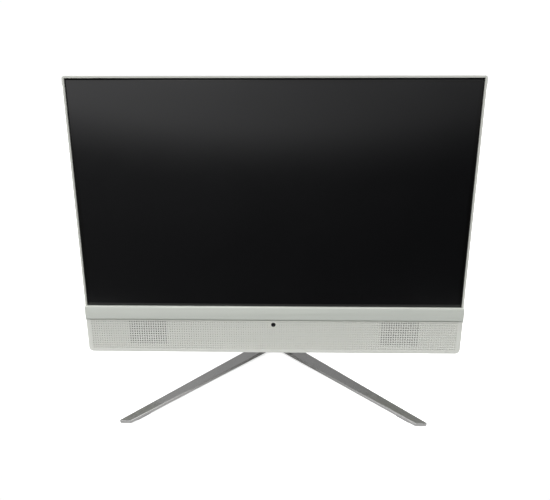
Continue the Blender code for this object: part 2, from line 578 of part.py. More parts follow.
def build_rear_cover(head):
    """The back shell: a thin upper part and a deep body, with the port pocket, drive mouth and vents."""
    rings = [
        [Vector((x, depth, z)) for x, z in filleted(head_outline(inset), 5)]
        for depth, inset in ((COVER_RIM, 0.0), (UPPER_DEPTH - EDGE_INSET, 0.0006), (UPPER_DEPTH, EDGE_INSET))
    ]
    side, low = BODY_SIDE, BODY_LOW_INSET
    body = loft([
        body_ring(UPPER_DEPTH - BODY_ROOT, side, low, BODY_TOP + 0.003),
        body_ring(BODY_DEPTH, side - BODY_DRAFT, low + BODY_DRAFT, BODY_CREST),
    ])
    void_side, void_high = HALF_WIDTH - SHELL_WALL, HEAD_HEIGHT - SHELL_WALL
    upper_outline = filleted(rectangle(-void_side, void_side, SHELL_WALL, void_high, 0.0015), 2)
    upper_void = prism(upper_outline, "y", 0, UPPER_DEPTH - SHELL_WALL)
    slope_wall = SHELL_WALL * 1.25
    body_void = loft([
        body_ring(UPPER_DEPTH - SHELL_WALL - 0.002, side - SHELL_WALL, low + SHELL_WALL,
                  BODY_TOP - slope_wall),
        body_ring(BODY_DEPTH - SHELL_WALL, side - BODY_DRAFT - SHELL_WALL, low + BODY_DRAFT + SHELL_WALL,
                  BODY_CREST - slope_wall),
    ])
    # The void stops short of the port pocket, so the pocket keeps walls of its own.
    pocket_keep = block(IO_POCKET_LEFT - SHELL_WALL, IO_POCKET_RIGHT + SHELL_WALL,
                        IO_POCKET_FRONT - SHELL_WALL, BODY_DEPTH + 0.01, -0.01, IO_POCKET_TOP + SHELL_WALL)
    pocket = block(IO_POCKET_LEFT, IO_POCKET_RIGHT, IO_POCKET_FRONT, BODY_DEPTH + 0.02, -0.02, IO_POCKET_TOP)

    mouth = block(HALF_WIDTH - 0.012, HALF_WIDTH + 0.01, DRIVE_DEPTH - 0.0008,
                  DRIVE_DEPTH + DRIVE_HEIGHT + 0.0008, DRIVE_LOW - 0.001, DRIVE_LOW + DRIVE_WIDTH + 0.001)
    arm_slots = merged(*(
        block(min(s * (LUG_INNER - 2 * GAP), s * (LUG_OUTER + 2 * GAP)),
              max(s * (LUG_INNER - 2 * GAP), s * (LUG_OUTER + 2 * GAP)),
              BODY_DEPTH - 0.008, BODY_DEPTH + 0.008,
              HINGE_HEIGHT - KNUCKLE_RADIUS - 0.002, HINGE_HEIGHT + KNUCKLE_RADIUS + 0.002) for s in (-1, 1)))

    wall_low, wall_high = IO_POCKET_TOP - 0.002, IO_POCKET_TOP + SHELL_WALL + 0.002

    def rear_hole(left, width, height):
        return block(left - GAP, left + width + GAP, ON_BOARD - GAP, ON_BOARD + height + GAP,
                     wall_low, wall_high)

    rear_holes = merged(
        rod("z", INLET_X, ON_BOARD + INLET_RADIUS, INLET_RADIUS + GAP, wall_low, wall_high, 24),
        rear_hole(LAN_LEFT, LAN_WIDTH, LAN_HEIGHT),
        rear_hole(HDMI_LEFT, HDMI_WIDTH, HDMI_HEIGHT),
        *(rear_hole(left, USB_WIDTH, USB_HEIGHT) for _, left in REAR_USB),
    )
    wall_out, wall_in = -HALF_WIDTH - 0.005, -HALF_WIDTH + 0.009

    def side_hole(bottom, width, height):
        return block(wall_out, wall_in, ON_BOARD - GAP, ON_BOARD + height + GAP,
                     bottom - GAP, bottom + width + GAP)

    side_holes = merged(
        *(side_hole(bottom, USB_WIDTH, USB_HEIGHT) for _, bottom in SIDE_SOCKETS),
        side_hole(CARD_LOW, CARD_WIDTH, CARD_HEIGHT),
        rod("x", ON_BOARD + JACK_RADIUS, JACK_HEIGHT, JACK_RADIUS + GAP, wall_out, wall_in, 24),
    )

    def slots(start, end, low_edge, high_edge, front, back):
        lefts = [start + i * VENT_PITCH for i in range(int((end - start) / VENT_PITCH))]
        return [block(left, left + VENT_SLOT, front, back, low_edge, high_edge) for left in lefts]

    slope_slots = slots(-HALF_WIDTH + 0.0226, BOARD_RIGHT, BODY_CREST + 0.011, BODY_TOP - 0.014,
                        UPPER_DEPTH + 0.001, BODY_DEPTH + 0.005)
    intake_slots = slots(HINGE_PLATE_HALF_WIDTH + 0.018, HALF_WIDTH - 0.0296, 0.030, 0.070,
                         BODY_DEPTH - 0.008, BODY_DEPTH + 0.005)
    vents = merged(*slope_slots, *intake_slots)

    # The shell's void is one shape: the upper void joined with the body's, less the pocket's walls.
    void = piece("rear_cover_void", body_void, WHITE, head, joins=[upper_void], cuts=[pocket_keep])
    cover = piece("rear_cover", body, WHITE, head, bevel=BODY_BEVEL, joins=[loft(rings)])
    add_boolean(cover, "hollow", "DIFFERENCE", void, head)
    for label, shape in (("pocket", pocket), ("drive_mouth", mouth), ("arm_slots", arm_slots),
                         ("rear_holes", rear_holes), ("side_holes", side_holes), ("vents", vents)):
        add_boolean(cover, label, "DIFFERENCE", shape, head)


# ---------------------------------------------------------------- head: inside
def hollow_socket(name, outer, axis, mouth, length, head, wall=SOCKET_WALL):
    """A sheet-metal socket shell, open at its mouth and closed at its inner end."""
    a0, a1, b0, b1 = outer
    shape = prism(rectangle_points(a0, a1, b0, b1), axis, mouth, mouth + length)
    hole = prism(rectangle_points(a0 + wall, a1 - wall, b0 + wall, b1 - wall), axis, mouth - 0.002,
                 mouth + length - wall)
    piece(name, shape, STEEL, head, cuts=[hole])


def build_sockets(head):
    mouth = IO_POCKET_TOP + SOCKET_RECESS
    hollow_socket("lan_socket", (LAN_LEFT, LAN_LEFT + LAN_WIDTH, ON_BOARD, ON_BOARD + LAN_HEIGHT),
                  "z", mouth, LAN_LENGTH, head, 2 * SOCKET_WALL)
    hollow_socket("hdmi_socket", (HDMI_LEFT, HDMI_LEFT + HDMI_WIDTH, ON_BOARD, ON_BOARD + HDMI_HEIGHT),
                  "z", mouth, HDMI_LENGTH, head)
    for name, left in REAR_USB:
        hollow_socket(name, (left, left + USB_WIDTH, ON_BOARD, ON_BOARD + USB_HEIGHT),
                      "z", mouth, USB_LENGTH, head)
    centre = ON_BOARD + INLET_RADIUS
    barrel = rod("z", INLET_X, centre, INLET_RADIUS, mouth, mouth + INLET_LENGTH, 24)
    bore = rod("z", INLET_X, centre, INLET_RADIUS - 0.0009, mouth - 0.002, mouth + INLET_LENGTH - 0.001, 24)
    pin = rod("z", INLET_X, centre, 0.0006, mouth + 0.001, mouth + INLET_LENGTH - 0.0005, 12)
    inlet = piece("power_inlet", barrel, BLACK, head, cuts=[bore])
    add_boolean(inlet, "pin", "UNION", pin, head)

    for name, bottom in SIDE_SOCKETS:
        hollow_socket(name, (ON_BOARD, ON_BOARD + USB_HEIGHT, bottom, bottom + USB_WIDTH),
                      "x", SIDE_MOUTH, USB_LENGTH, head)
    hollow_socket("card_reader", (ON_BOARD, ON_BOARD + CARD_HEIGHT, CARD_LOW, CARD_LOW + CARD_WIDTH),
                  "x", SIDE_MOUTH, CARD_LENGTH, head)
    jack_depth, jack_end = ON_BOARD + JACK_RADIUS, SIDE_MOUTH + JACK_LENGTH
    jack = rod("x", jack_depth, JACK_HEIGHT, JACK_RADIUS, SIDE_MOUTH, jack_end, 24)
    jack_bore = rod("x", jack_depth, JACK_HEIGHT, 0.0018, SIDE_MOUTH - 0.002, jack_end - 0.001, 16)
    piece("headset_jack", jack, BLACK, head, cuts=[jack_bore])


def build_hinge_mount(head):
    """The steel plate on the chassis, with two arms that reach out to the hinge axis."""
    plate_front = CHASSIS_BACK + GAP
    plate_back = plate_front + HINGE_PLATE_THICKNESS
    plate = prism(filleted(rectangle(-HINGE_PLATE_HALF_WIDTH, HINGE_PLATE_HALF_WIDTH,
                                     HINGE_HEIGHT - HINGE_PLATE_HALF_HEIGHT,
                                     HINGE_HEIGHT + HINGE_PLATE_HALF_HEIGHT, 0.005)),
                  "y", plate_front, plate_back)
    arm = filleted([(plate_back - 0.001, HINGE_HEIGHT - KNUCKLE_RADIUS, 0),
                    (HINGE_DEPTH + KNUCKLE_RADIUS, HINGE_HEIGHT - KNUCKLE_RADIUS, KNUCKLE_RADIUS - 0.0001),
                    (HINGE_DEPTH + KNUCKLE_RADIUS, HINGE_HEIGHT + KNUCKLE_RADIUS, KNUCKLE_RADIUS - 0.0001),
                    (plate_back - 0.001, HINGE_HEIGHT + KNUCKLE_RADIUS, 0)], 10)
    arms = [prism(arm, "x", s * LUG_INNER, s * LUG_OUTER) for s in (-1, 1)]
    bore = rod("x", HINGE_DEPTH, HINGE_HEIGHT, SHAFT_RADIUS + GAP, -LUG_OUTER - 0.01, LUG_OUTER + 0.01)
    screw_rise = HINGE_PLATE_HALF_HEIGHT - HINGE_SCREW_MARGIN
    screws = [(sx * HINGE_SCREW_X, HINGE_HEIGHT + sz * screw_rise) for sz in (-1, 1) for sx in (-1, 1)]
    holes = merged(*(rod("y", x, z, SCREW_RADIUS + GAP, 0, plate_back + 0.002, 16) for x, z in screws))
    piece("hinge_plate", plate, STEEL, head, joins=arms, cuts=[bore, holes])

    tip = LUG_OUTER + GAP + NUT_THICKNESS + 0.001
    shaft = rod("x", HINGE_DEPTH, HINGE_HEIGHT, SHAFT_RADIUS, -tip, tip)
    piece("hinge_shaft", shaft, STEEL, head, smooth=True)
    for side, label in ((-1, "left"), (1, "right")):
        start = side * (LUG_OUTER + GAP)
        end = start + side * NUT_THICKNESS
        nut = rod("x", HINGE_DEPTH, HINGE_HEIGHT, NUT_RADIUS, start, end, 6)
        hole = rod("x", HINGE_DEPTH, HINGE_HEIGHT, SHAFT_RADIUS + GAP,
                   start - side * 0.002, end + side * 0.002)
        piece(f"hinge_nut_{label}", nut, STEEL, head, cuts=[hole])
    for number, (x, z) in enumerate(screws, 1):
        head_start = plate_back + GAP
        cap = rod("y", x, z, SCREW_HEAD_RADIUS, head_start, head_start + SCREW_HEAD_HEIGHT, 24)
        shank = rod("y", x, z, SCREW_RADIUS, CHASSIS_DEPTH, head_start + SCREW_HEAD_HEIGHT / 2, 16)
        piece(f"hinge_screw_{number}", cap, STEEL, head, joins=[shank])
    return screws


def build_chassis(head, hinge_screws):
    """Steel plate behind the panel, with standoffs for the main board and pads under the optical drive."""
    half = HALF_WIDTH - FRAME_WALL - 0.0037
    low, high = PANEL_LOW - CHASSIS_UNDER_PANEL, HEAD_HEIGHT - 0.0085
    plate = prism(rectangle_points(-half, half, low, high), "y", CHASSIS_DEPTH, CHASSIS_BACK)
    holes = merged(*(rod("y", x, z, SCREW_RADIUS + GAP, 0, CHASSIS_BACK + 0.002, 16)
                     for x, z in hinge_screws))
    inset, overlap = 0.008, 0.0006
    corners = [(x, z) for x in (BOARD_LEFT + inset, BOARD_RIGHT - inset)
               for z in (BOARD_LOW + 0.030, BOARD_HIGH - inset)]
    standoffs = merged(*(rod("y", x, z, 0.003, CHASSIS_BACK - overlap, CHASSIS_BACK + STANDOFF, 12)
                         for x, z in corners))
    drive_inner = HALF_WIDTH - TRAY_FRONT_THICKNESS - 2 * GAP - DRIVE_LENGTH
    pads = merged(*(block(drive_inner + 0.010, HALF_WIDTH - 0.020, CHASSIS_BACK - overlap,
                          CHASSIS_BACK + DRIVE_PAD, z, z + 0.008)
                    for z in (DRIVE_LOW + 0.010, DRIVE_LOW + DRIVE_WIDTH - 0.018)))
    piece("chassis_plate", plate, STEEL, head, joins=[standoffs, pads], cuts=[holes])


def rectangle_points(a0, a1, b0, b1):
    return [(a0, b0), (a1, b0), (a1, b1), (a0, b1)]


# The blower fills the corner of the body below its crest, beside the side sockets; the fins sit above it.
BLOWER_HALF = BLOWER_SIZE / 2
FAN_RADIUS = BLOWER_HALF - FAN_MARGIN
FAN_X = SIDE_MOUTH + USB_LENGTH + 0.0015 + BLOWER_HALF
FAN_HEIGHT = BODY_CREST - BLOWER_BELOW_CREST - BLOWER_HALF
BLOWER_RIGHT = FAN_X + BLOWER_HALF
BLOWER_LOW = FAN_HEIGHT - BLOWER_HALF
BLOWER_BACK = BODY_DEPTH - SHELL_WALL - BLOWER_TO_COVER
FIN_LOW = FAN_HEIGHT + BLOWER_HALF + 0.003
FIN_TOP = FIN_LOW + FIN_STACK_HEIGHT
BOARD_HIGH = FIN_TOP + 0.0045
COLD_PLATE_LEFT = BLOWER_RIGHT + 0.009
COLD_PLATE_SIZE = 0.040
BATTERY_RADIUS = 0.010
BATTERY_MARGIN = 0.0022
MEMORY_LENGTH = 0.0676


def build_electronics(head):
    board = block(BOARD_LEFT, BOARD_RIGHT, BOARD_FRONT, BOARD_BACK, BOARD_LOW, BOARD_HIGH)
    piece("motherboard", board, BOARD, head)
    memory_high = BLOWER_LOW - 0.010
    memory_right = BOARD_RIGHT - 2 * (BATTERY_RADIUS + BATTERY_MARGIN)
    piece("memory_module", block(memory_right - MEMORY_LENGTH, memory_right, ON_BOARD, ON_BOARD + 0.0038,
                                 memory_high - 0.030, memory_high), BOARD, head)
    piece("wifi_card", block(BOARD_RIGHT - 0.038, BOARD_RIGHT - 0.008, ON_BOARD, ON_BOARD + 0.0016,
                             BOARD_HIGH - 0.030, BOARD_HIGH - 0.008), BOARD, head)
    battery_x = BOARD_RIGHT - BATTERY_RADIUS - BATTERY_MARGIN
    battery = rod("y", battery_x, BOARD_LOW + 0.020, BATTERY_RADIUS, ON_BOARD, ON_BOARD + 0.0032)
    piece("clock_battery", battery, STEEL, head, smooth=True)
    drive_front = CHASSIS_BACK + GAP
    drive_low = HINGE_HEIGHT + HINGE_PLATE_HALF_HEIGHT + 0.020
    hard_drive = block(-0.050, 0.050, drive_front, drive_front + 0.0095, drive_low, drive_low + 0.0698)
    piece("hard_drive", hard_drive, SILVER, head, bevel=0.001)

    # The ribbon leaves the panel's lower edge, passes under the chassis and comes up in front of the board.
    half = 0.0003
    start, end = 0.0060, BOARD_FRONT - GAP - half
    under = PANEL_LOW - CHASSIS_UNDER_PANEL - 0.002
    line = [(start, PANEL_LOW - GAP), (start, under + 0.003), (start + 0.003, under), (end - 0.003, under),
            (end, under + 0.003), (end, BOARD_LOW + 0.015)]
    piece("display_cable", prism(ribbon(line, half), "x", BOARD_LEFT, BOARD_LEFT + 0.006), BLACK, head)


def ribbon(line, half):
    """An outline of constant thickness along a line of points."""
    near, far = [], []
    points = [Vector(p) for p in line]
    for i, p in enumerate(points):
        before = (p - points[i - 1]).normalized() if i else None
        after = (points[i + 1] - p).normalized() if i + 1 < len(points) else None
        along = ((before or after) + (after or before)).normalized()
        square = Vector((-along.y, along.x))
        stretch = half / max(0.5, (before or after).dot(along))
        near.append(p + square * stretch)
        far.append(p - square * stretch)
    return near + far[::-1]


def build_cooling(head):
    """Processor cold plate, heat pipe, fin stack and the blower."""
    plate_low, plate_high = FAN_HEIGHT - 0.024, FAN_HEIGHT - 0.024 + COLD_PLATE_SIZE
    metal_back = ON_BOARD + 0.0036
    piece("cold_plate", block(COLD_PLATE_LEFT, COLD_PLATE_LEFT + COLD_PLATE_SIZE, ON_BOARD, metal_back,
                              plate_low, plate_high), COPPER, head, bevel=0.0006)
    fin_left = FAN_X - BLOWER_HALF + 0.001
    fin_pitch = (BLOWER_SIZE - 0.003) / (FIN_COUNT - 1)
    base = block(fin_left, fin_left + fin_pitch * (FIN_COUNT - 1) + 0.0006, ON_BOARD, ON_BOARD + 0.001,
                 FIN_LOW, FIN_TOP)
    fins = merged(*(block(fin_left + i * fin_pitch, fin_left + i * fin_pitch + 0.0006, ON_BOARD + 0.0005,
                          metal_back, FIN_LOW, FIN_TOP) for i in range(FIN_COUNT)))
    piece("fin_stack", base, COPPER, head, joins=[fins])

    pipe_depth = metal_back + GAP + HEAT_PIPE_RADIUS
    bend = 0.010
    corner_x = BLOWER_RIGHT + 0.0055
    low_run, high_run = (plate_low + plate_high) / 2, (FIN_LOW + FIN_TOP) / 2
    route = [Vector((COLD_PLATE_LEFT + COLD_PLATE_SIZE - 0.003, low_run))]
    turns = ((corner_x + bend, low_run + bend, -90, -15), (corner_x - bend, high_run - bend, 0, 15))
    for x, z, start, step in turns:
        for i in range(7):
            turn = math.radians(start + step * i)
            route.append(Vector((x + bend * math.cos(turn), z + bend * math.sin(turn))))
    route.append(Vector((fin_left + 0.003, high_run)))
    curve = bpy.data.curves.new("heat_pipe", "CURVE")
    curve.dimensions = "3D"
    curve.bevel_depth = HEAT_PIPE_RADIUS
    curve.bevel_resolution = 2
    curve.use_fill_caps = True
    spline = curve.splines.new("POLY")
    spline.points.add(len(route) - 1)
    origin = Vector((corner_x, pipe_depth, low_run))
    for point, (x, z) in zip(spline.points, route):
        point.co = (*(Vector((x, pipe_depth, z)) - origin), 1)
    pipe = bpy.data.objects.new("heat_pipe", curve)
    bpy.context.scene.collection.objects.link(pipe)
    pipe.parent = head
    pipe.location = origin - HINGE
    curve.materials.append(material(COPPER))

    wall = BLOWER_WALL
    front, back = ON_BOARD, BLOWER_BACK
    top = FAN_HEIGHT + BLOWER_HALF
    case = block(FAN_X - BLOWER_HALF, BLOWER_RIGHT, front, back, BLOWER_LOW, top)
    chamber = rod("y", FAN_X, FAN_HEIGHT, FAN_RADIUS + FAN_MARGIN / 2, front + wall, back - wall, 40)
    duct = block(FAN_X - BLOWER_HALF + 0.002, BLOWER_RIGHT - 0.002, front + wall, back - wall,
                 FAN_HEIGHT, top + 0.002)
    inlet = rod("y", FAN_X, FAN_HEIGHT, FAN_RADIUS - 0.007, back - wall - 0.001, back + 0.003, 40)
    housing = piece("blower_housing", case, BLACK, head, cuts=[chamber, duct, inlet])
    post = rod("y", FAN_X, FAN_HEIGHT, FAN_SHAFT_RADIUS, front + wall / 2, back - wall - 0.002, 16)
    add_boolean(housing, "post", "UNION", post, head)

    hub = 0.011
    blade = 0.0012
    outline = []
    for i in range(FAN_BLADES):
        turn = 2 * math.pi * i / FAN_BLADES
        spread, lean = blade / 2 / hub, 0.25
        for radius, angle in ((hub, turn - spread), (FAN_RADIUS, turn + lean - blade / 2 / FAN_RADIUS),
                              (FAN_RADIUS, turn + lean + blade / 2 / FAN_RADIUS), (hub, turn + spread),
                              (hub, turn + math.pi / FAN_BLADES)):
            outline.append((FAN_X + radius * math.cos(angle), FAN_HEIGHT + radius * math.sin(angle)))
    rotor_front = front + wall + GAP
    rotor = prism(outline, "y", rotor_front, back - wall - 0.001)
    bore = rod("y", FAN_X, FAN_HEIGHT, FAN_SHAFT_RADIUS + GAP, front, back - wall - 0.002 + GAP, 16)
    piece("blower_rotor", rotor, BLACK, head, cuts=[bore], origin=(FAN_X, (front + back) / 2, FAN_HEIGHT))


# ---------------------------------------------------------------- optical drive
def build_optical_drive(head):
    """Slim drive on its side: the case in the head, and the tray that slides out to the user's right."""
    mouth = HALF_WIDTH - TRAY_FRONT_THICKNESS - 2 * GAP
    inner = mouth - DRIVE_LENGTH
    low, high = DRIVE_LOW, DRIVE_LOW + DRIVE_WIDTH
    front, back = DRIVE_DEPTH, DRIVE_DEPTH + DRIVE_HEIGHT
    case = block(inner, mouth, front, back, low, high)
    bay = block(inner + SHEET, mouth + 0.002, front + SHEET, back - SHEET, low + SHEET, high - SHEET)
    piece("optical_drive_case", case, STEEL, head, cuts=[bay])

    tray_front_side, tray_back_side = front + 0.0026, front + 0.0096
    tray_low, tray_high = low + SHEET + 0.0014, high - SHEET - 0.0014
    tray_left, tray_right = inner + 0.0035, HALF_WIDTH - TRAY_FRONT_THICKNESS - GAP
    centre_x, centre_z = (tray_left + tray_right) / 2, (tray_low + tray_high) / 2
    floor = tray_front_side + 0.0026
    tray = prism(filleted(rectangle(tray_left, tray_right, tray_low, tray_high, 0.002), 2),
                 "y", tray_front_side, tray_back_side)
    recess = rod("y", centre_x, centre_z, DISC_RADIUS, tray_front_side - 0.002, floor, 64)
    hub_well = rod("y", centre_x, centre_z, TRAY_HUB_RADIUS + 0.001, floor - 0.001, tray_back_side - 0.001)
    sled_half = 0.007
    slot_low, slot_high = centre_z - 0.050, centre_z - TRAY_HUB_RADIUS - 0.0025
    well_back = tray_back_side - 0.001
    slot = block(centre_x - sled_half, centre_x + sled_half, floor - 0.001, well_back, slot_low, slot_high)
    piece("disc_tray", tray, BLACK, head, cuts=[recess, hub_well, slot])

    hub = rod("y", centre_x, centre_z, TRAY_HUB_RADIUS, floor - 0.0018, well_back - GAP)
    piece("disc_spindle", hub, STEEL, head, smooth=True)
    sled = block(centre_x - sled_half + GAP, centre_x + sled_half - GAP, floor + 0.0004, well_back - GAP,
                 slot_high - 0.0165, slot_high - 0.001)
    lens = rod("y", centre_x, slot_high - 0.0085, 0.0032, floor - 0.0004, floor + 0.001, 20)
    piece("laser_sled", sled, BLACK, head, joins=[lens])

    bezel_in = HALF_WIDTH - TRAY_FRONT_THICKNESS
    bezel = block(bezel_in, HALF_WIDTH, front - GAP, back + GAP, low - 0.0005, high + 0.0005)
    eject_z, eject_half = low + 0.025, 0.004
    eject_depth, eject_half_depth = (front + back) / 2, 0.0016
    eject_hole = block(bezel_in - 0.002, HALF_WIDTH + 0.002, eject_depth - eject_half_depth,
                       eject_depth + eject_half_depth, eject_z - eject_half, eject_z + eject_half)
    piece("tray_front", bezel, WHITE, head, cuts=[eject_hole])
    key_half_depth, key_half = eject_half_depth - GAP, eject_half - GAP
    button = block(bezel_in + 0.0006, HALF_WIDTH, eject_depth - key_half_depth, eject_depth + key_half_depth,
                   eject_z - key_half, eject_z + key_half)
    piece("eject_button", button, WHITE, head)


# ---------------------------------------------------------------- assembly
def main():
    for obj in list(bpy.data.objects):
        bpy.data.objects.remove(obj)
    build_stand()
    head = frame_empty("head_hinge_axis", hinge_in_world(), -REST_TILT, HINGE)
    build_front(head)
    build_buttons(head)
    build_rear_cover(head)
    build_sockets(head)
    screws = build_hinge_mount(head)
    build_chassis(head, screws)
    build_electronics(head)
    build_cooling(head)
    build_optical_drive(head)


main()
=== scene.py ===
import json
import math

import bmesh
import bpy
from mathutils import Euler, Matrix, Vector


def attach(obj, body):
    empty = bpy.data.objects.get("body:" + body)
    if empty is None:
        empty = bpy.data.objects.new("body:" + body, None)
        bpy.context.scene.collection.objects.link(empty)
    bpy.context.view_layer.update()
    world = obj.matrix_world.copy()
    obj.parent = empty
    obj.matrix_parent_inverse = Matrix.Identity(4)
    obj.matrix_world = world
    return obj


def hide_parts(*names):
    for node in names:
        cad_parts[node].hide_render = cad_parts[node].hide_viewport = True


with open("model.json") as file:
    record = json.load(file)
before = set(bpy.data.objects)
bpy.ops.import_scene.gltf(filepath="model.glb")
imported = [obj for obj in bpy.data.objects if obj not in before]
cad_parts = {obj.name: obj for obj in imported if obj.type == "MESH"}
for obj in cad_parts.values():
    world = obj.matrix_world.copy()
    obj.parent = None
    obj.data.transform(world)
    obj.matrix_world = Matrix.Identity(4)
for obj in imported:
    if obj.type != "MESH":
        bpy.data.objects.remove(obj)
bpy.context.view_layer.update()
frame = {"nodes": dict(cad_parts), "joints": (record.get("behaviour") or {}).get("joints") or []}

# ---------------------------------------------------------------- the studio
# A pale desk top under soft studio light. The camera stands half a metre in front of the machine, a little
# higher than its top edge, and looks down by 27 degrees. Only the room's upper half is bright, so the dark
# screen shows a grey sheen at its top and is black at its foot.
LENS_MM = 32.73
CAMERA_PLACE = (0.01263, -0.55454, 0.48574)
CAMERA_TURN = (62.965, 0.204, 0.975)
FLOOR_FRONT, FLOOR_BACK, FLOOR_SIDE = -0.17, 2.6, 2.4
ROOM_HEIGHTS = (0.0, 0.42, 0.5, 0.56, 0.605, 0.65, 0.70, 1.0)  # from straight down to straight up
ROOM_LIGHT = (0.05, 0.085, 0.12, 0.13, 0.16, 0.40, 0.90, 1.15)


def put(tree, kind, inputs=None, **settings):
    """Adds a shader node. An input given as an output socket is linked, and any other value is set."""
    made = tree.nodes.new("ShaderNode" + kind)
    for name, value in settings.items():
        setattr(made, name, value)
    for name, value in (inputs or {}).items():
        if isinstance(value, bpy.types.NodeSocket):
            tree.links.new(value, made.inputs[name])
        else:
            made.inputs[name].default_value = value
    return made


scene = bpy.context.scene
scene.view_settings.view_transform = "Standard"
camera = bpy.data.objects.new("camera", bpy.data.cameras.new("camera"))
camera.data.lens = LENS_MM
camera.data.clip_start = 0.01
camera.location = CAMERA_PLACE
camera.rotation_euler = Euler([math.radians(turn) for turn in CAMERA_TURN])
scene.collection.objects.link(camera)
scene.camera = camera

room = bpy.data.worlds.new("room")
scene.world = room
room.use_nodes = True
tree = room.node_tree
tree.nodes.clear()
direction = put(tree, "SeparateXYZ", {"Vector": put(tree, "TexCoord").outputs["Generated"]})
height = put(tree, "MapRange", {"Value": direction.outputs["Z"], "From Min": -1.0})
glow = put(tree, "ValToRGB", {"Fac": height.outputs["Result"]})
for place, light in zip(ROOM_HEIGHTS, ROOM_LIGHT):
    stops = glow.color_ramp.elements
    stop = stops[0] if place == 0 else stops[-1] if place == 1 else stops.new(place)
    stop.color = (light, light, light * 1.01, 1)
# The room is brighter on the left than on the right, and a little darker behind the machine.
sideways = put(tree, "MapRange", {"Value": direction.outputs["X"], "From Min": -0.7, "From Max": 0.7,
                                  "To Min": 1.6, "To Max": 0.4})
rearward = put(tree, "MapRange", {"Value": direction.outputs["Y"], "From Min": 0.0, "From Max": 0.7,
                                  "To Min": 1.0, "To Max": 0.65})
strength = put(tree, "Math", {0: sideways.outputs["Result"], 1: rearward.outputs["Result"]},
               operation="MULTIPLY")
room_light = put(tree, "Background", {"Color": glow.outputs["Color"], "Strength": strength.outputs[0]})
backdrop = put(tree, "Background", {"Color": (1, 1, 1, 1), "Strength": 1.02})
seen = put(tree, "MixShader", {"Fac": put(tree, "LightPath").outputs["Is Camera Ray"]})
tree.links.new(room_light.outputs[0], seen.inputs[1])
tree.links.new(backdrop.outputs[0], seen.inputs[2])
put(tree, "OutputWorld", {"Surface": seen.outputs[0]})

for name, place, size, power in (("key_light", (-0.9, -1.25, 2.6), 1.4, 31.5),
                                 ("fill_light", (1.3, -0.9, 2.2), 1.2, 10.0),
                                 ("back_light", (0.1, 0.35, 2.8), 1.6, 22.0)):
    lamp = bpy.data.lights.new(name, "AREA")
    lamp.shape, lamp.size, lamp.energy = "DISK", size, power
    held = bpy.data.objects.new(name, lamp)
    held.location = place
    held.rotation_euler = (Vector((0, 0, 0.2)) - Vector(place)).to_track_quat("-Z", "Y").to_euler()
    scene.collection.objects.link(held)

bpy.ops.object.select_all(action="DESELECT")
bpy.ops.mesh.primitive_plane_add(size=1, location=(0, (FLOOR_FRONT + FLOOR_BACK) / 2, -0.00005))
floor = bpy.context.object
floor.name = "floor"
floor.scale = (2 * FLOOR_SIDE, FLOOR_BACK - FLOOR_FRONT, 1)
desk_white = bpy.data.materials.new("desk_white")
desk_white.use_nodes = True
tree = desk_white.node_tree
tree.nodes.clear()
grain = put(tree, "TexNoise", {"Vector": put(tree, "TexCoord").outputs["Object"], "Scale": 30.0})
tone = put(tree, "MapRange", {"Value": grain.outputs["Fac"], "To Min": 0.93, "To Max": 0.96})
# For the camera alone the desk glows a little, so that it stays pale all round the machine.
lift = put(tree, "MapRange", {"Value": put(tree, "LightPath").outputs["Is Camera Ray"], "To Max": 0.7})
paper = put(tree, "BsdfPrincipled", {"Base Color": tone.outputs["Result"], "Roughness": 0.9,
                                     "Emission Color": (1, 1, 1, 1),
                                     "Emission Strength": lift.outputs["Result"]})
clear = put(tree, "BsdfTransparent")
below = put(tree, "MixShader", {"Fac": put(tree, "NewGeometry").outputs["Backfacing"]})
tree.links.new(paper.outputs[0], below.inputs[1])
tree.links.new(clear.outputs[0], below.inputs[2])
put(tree, "OutputMaterial", {"Surface": below.outputs[0]})
floor.data.materials.append(desk_white)

# ---------------------------------------------------------------- stand
# The base is one V-shaped plate of aluminium with a satin silver coat, stamped flat and broken at its edges.
# A bent neck of the same metal is screwed to it from below and holds the hinge knuckle.
SILVER_DARK, SILVER_LIGHT = (0.27, 0.27, 0.265), (0.32, 0.32, 0.315)
FLAKE_SIZE = 0.0004
DUST_COLOUR = (0.62, 0.60, 0.56)


def shader_group(name, inputs, outputs):
    """A new node group with named sockets. Gives its tree, what comes into it and what goes out of it."""
    made = bpy.data.node_groups.new(name, "ShaderNodeTree")
    kinds = {"value": "NodeSocketFloat", "vector": "NodeSocketVector"}
    for direction_in, sockets in (("INPUT", inputs), ("OUTPUT", outputs)):
        for socket, kind in sockets:
            made.interface.new_socket(name=socket, in_out=direction_in, socket_type=kinds[kind])
    return made, made.nodes.new("NodeGroupInput").outputs, made.nodes.new("NodeGroupOutput").inputs


def maths(tree, operation, first, second=None):
    """One step of arithmetic on numbers or sockets. Gives the socket with the answer."""
    node = put(tree, "Math", operation=operation)
    for socket, value in zip(node.inputs, (first, second)):
        if isinstance(value, bpy.types.NodeSocket):
            tree.links.new(value, socket)
        elif value is not None:
            socket.default_value = value
    return node.outputs[0]


# Rubbed edges: how far a slightly rounded edge turns from the flat face beside it.
tree, given, end = shader_group("rubbed_edge", [("Radius", "value"), ("Sharpness", "value")],
                                [("Edge", "value"), ("Normal", "vector")])
rounded = put(tree, "Bevel", {"Radius": given["Radius"]}, samples=4)
facing = put(tree, "VectorMath", {0: rounded.outputs["Normal"],
                                  1: put(tree, "NewGeometry").outputs["Normal"]}, operation="DOT_PRODUCT")
turned = maths(tree, "SUBTRACT", 1.0, facing.outputs["Value"])
edge = maths(tree, "MINIMUM", maths(tree, "MULTIPLY", turned, given["Sharpness"]), 1.0)
tree.links.new(edge, end["Edge"])
tree.links.new(rounded.outputs["Normal"], end["Normal"])
rubbed_edge = tree

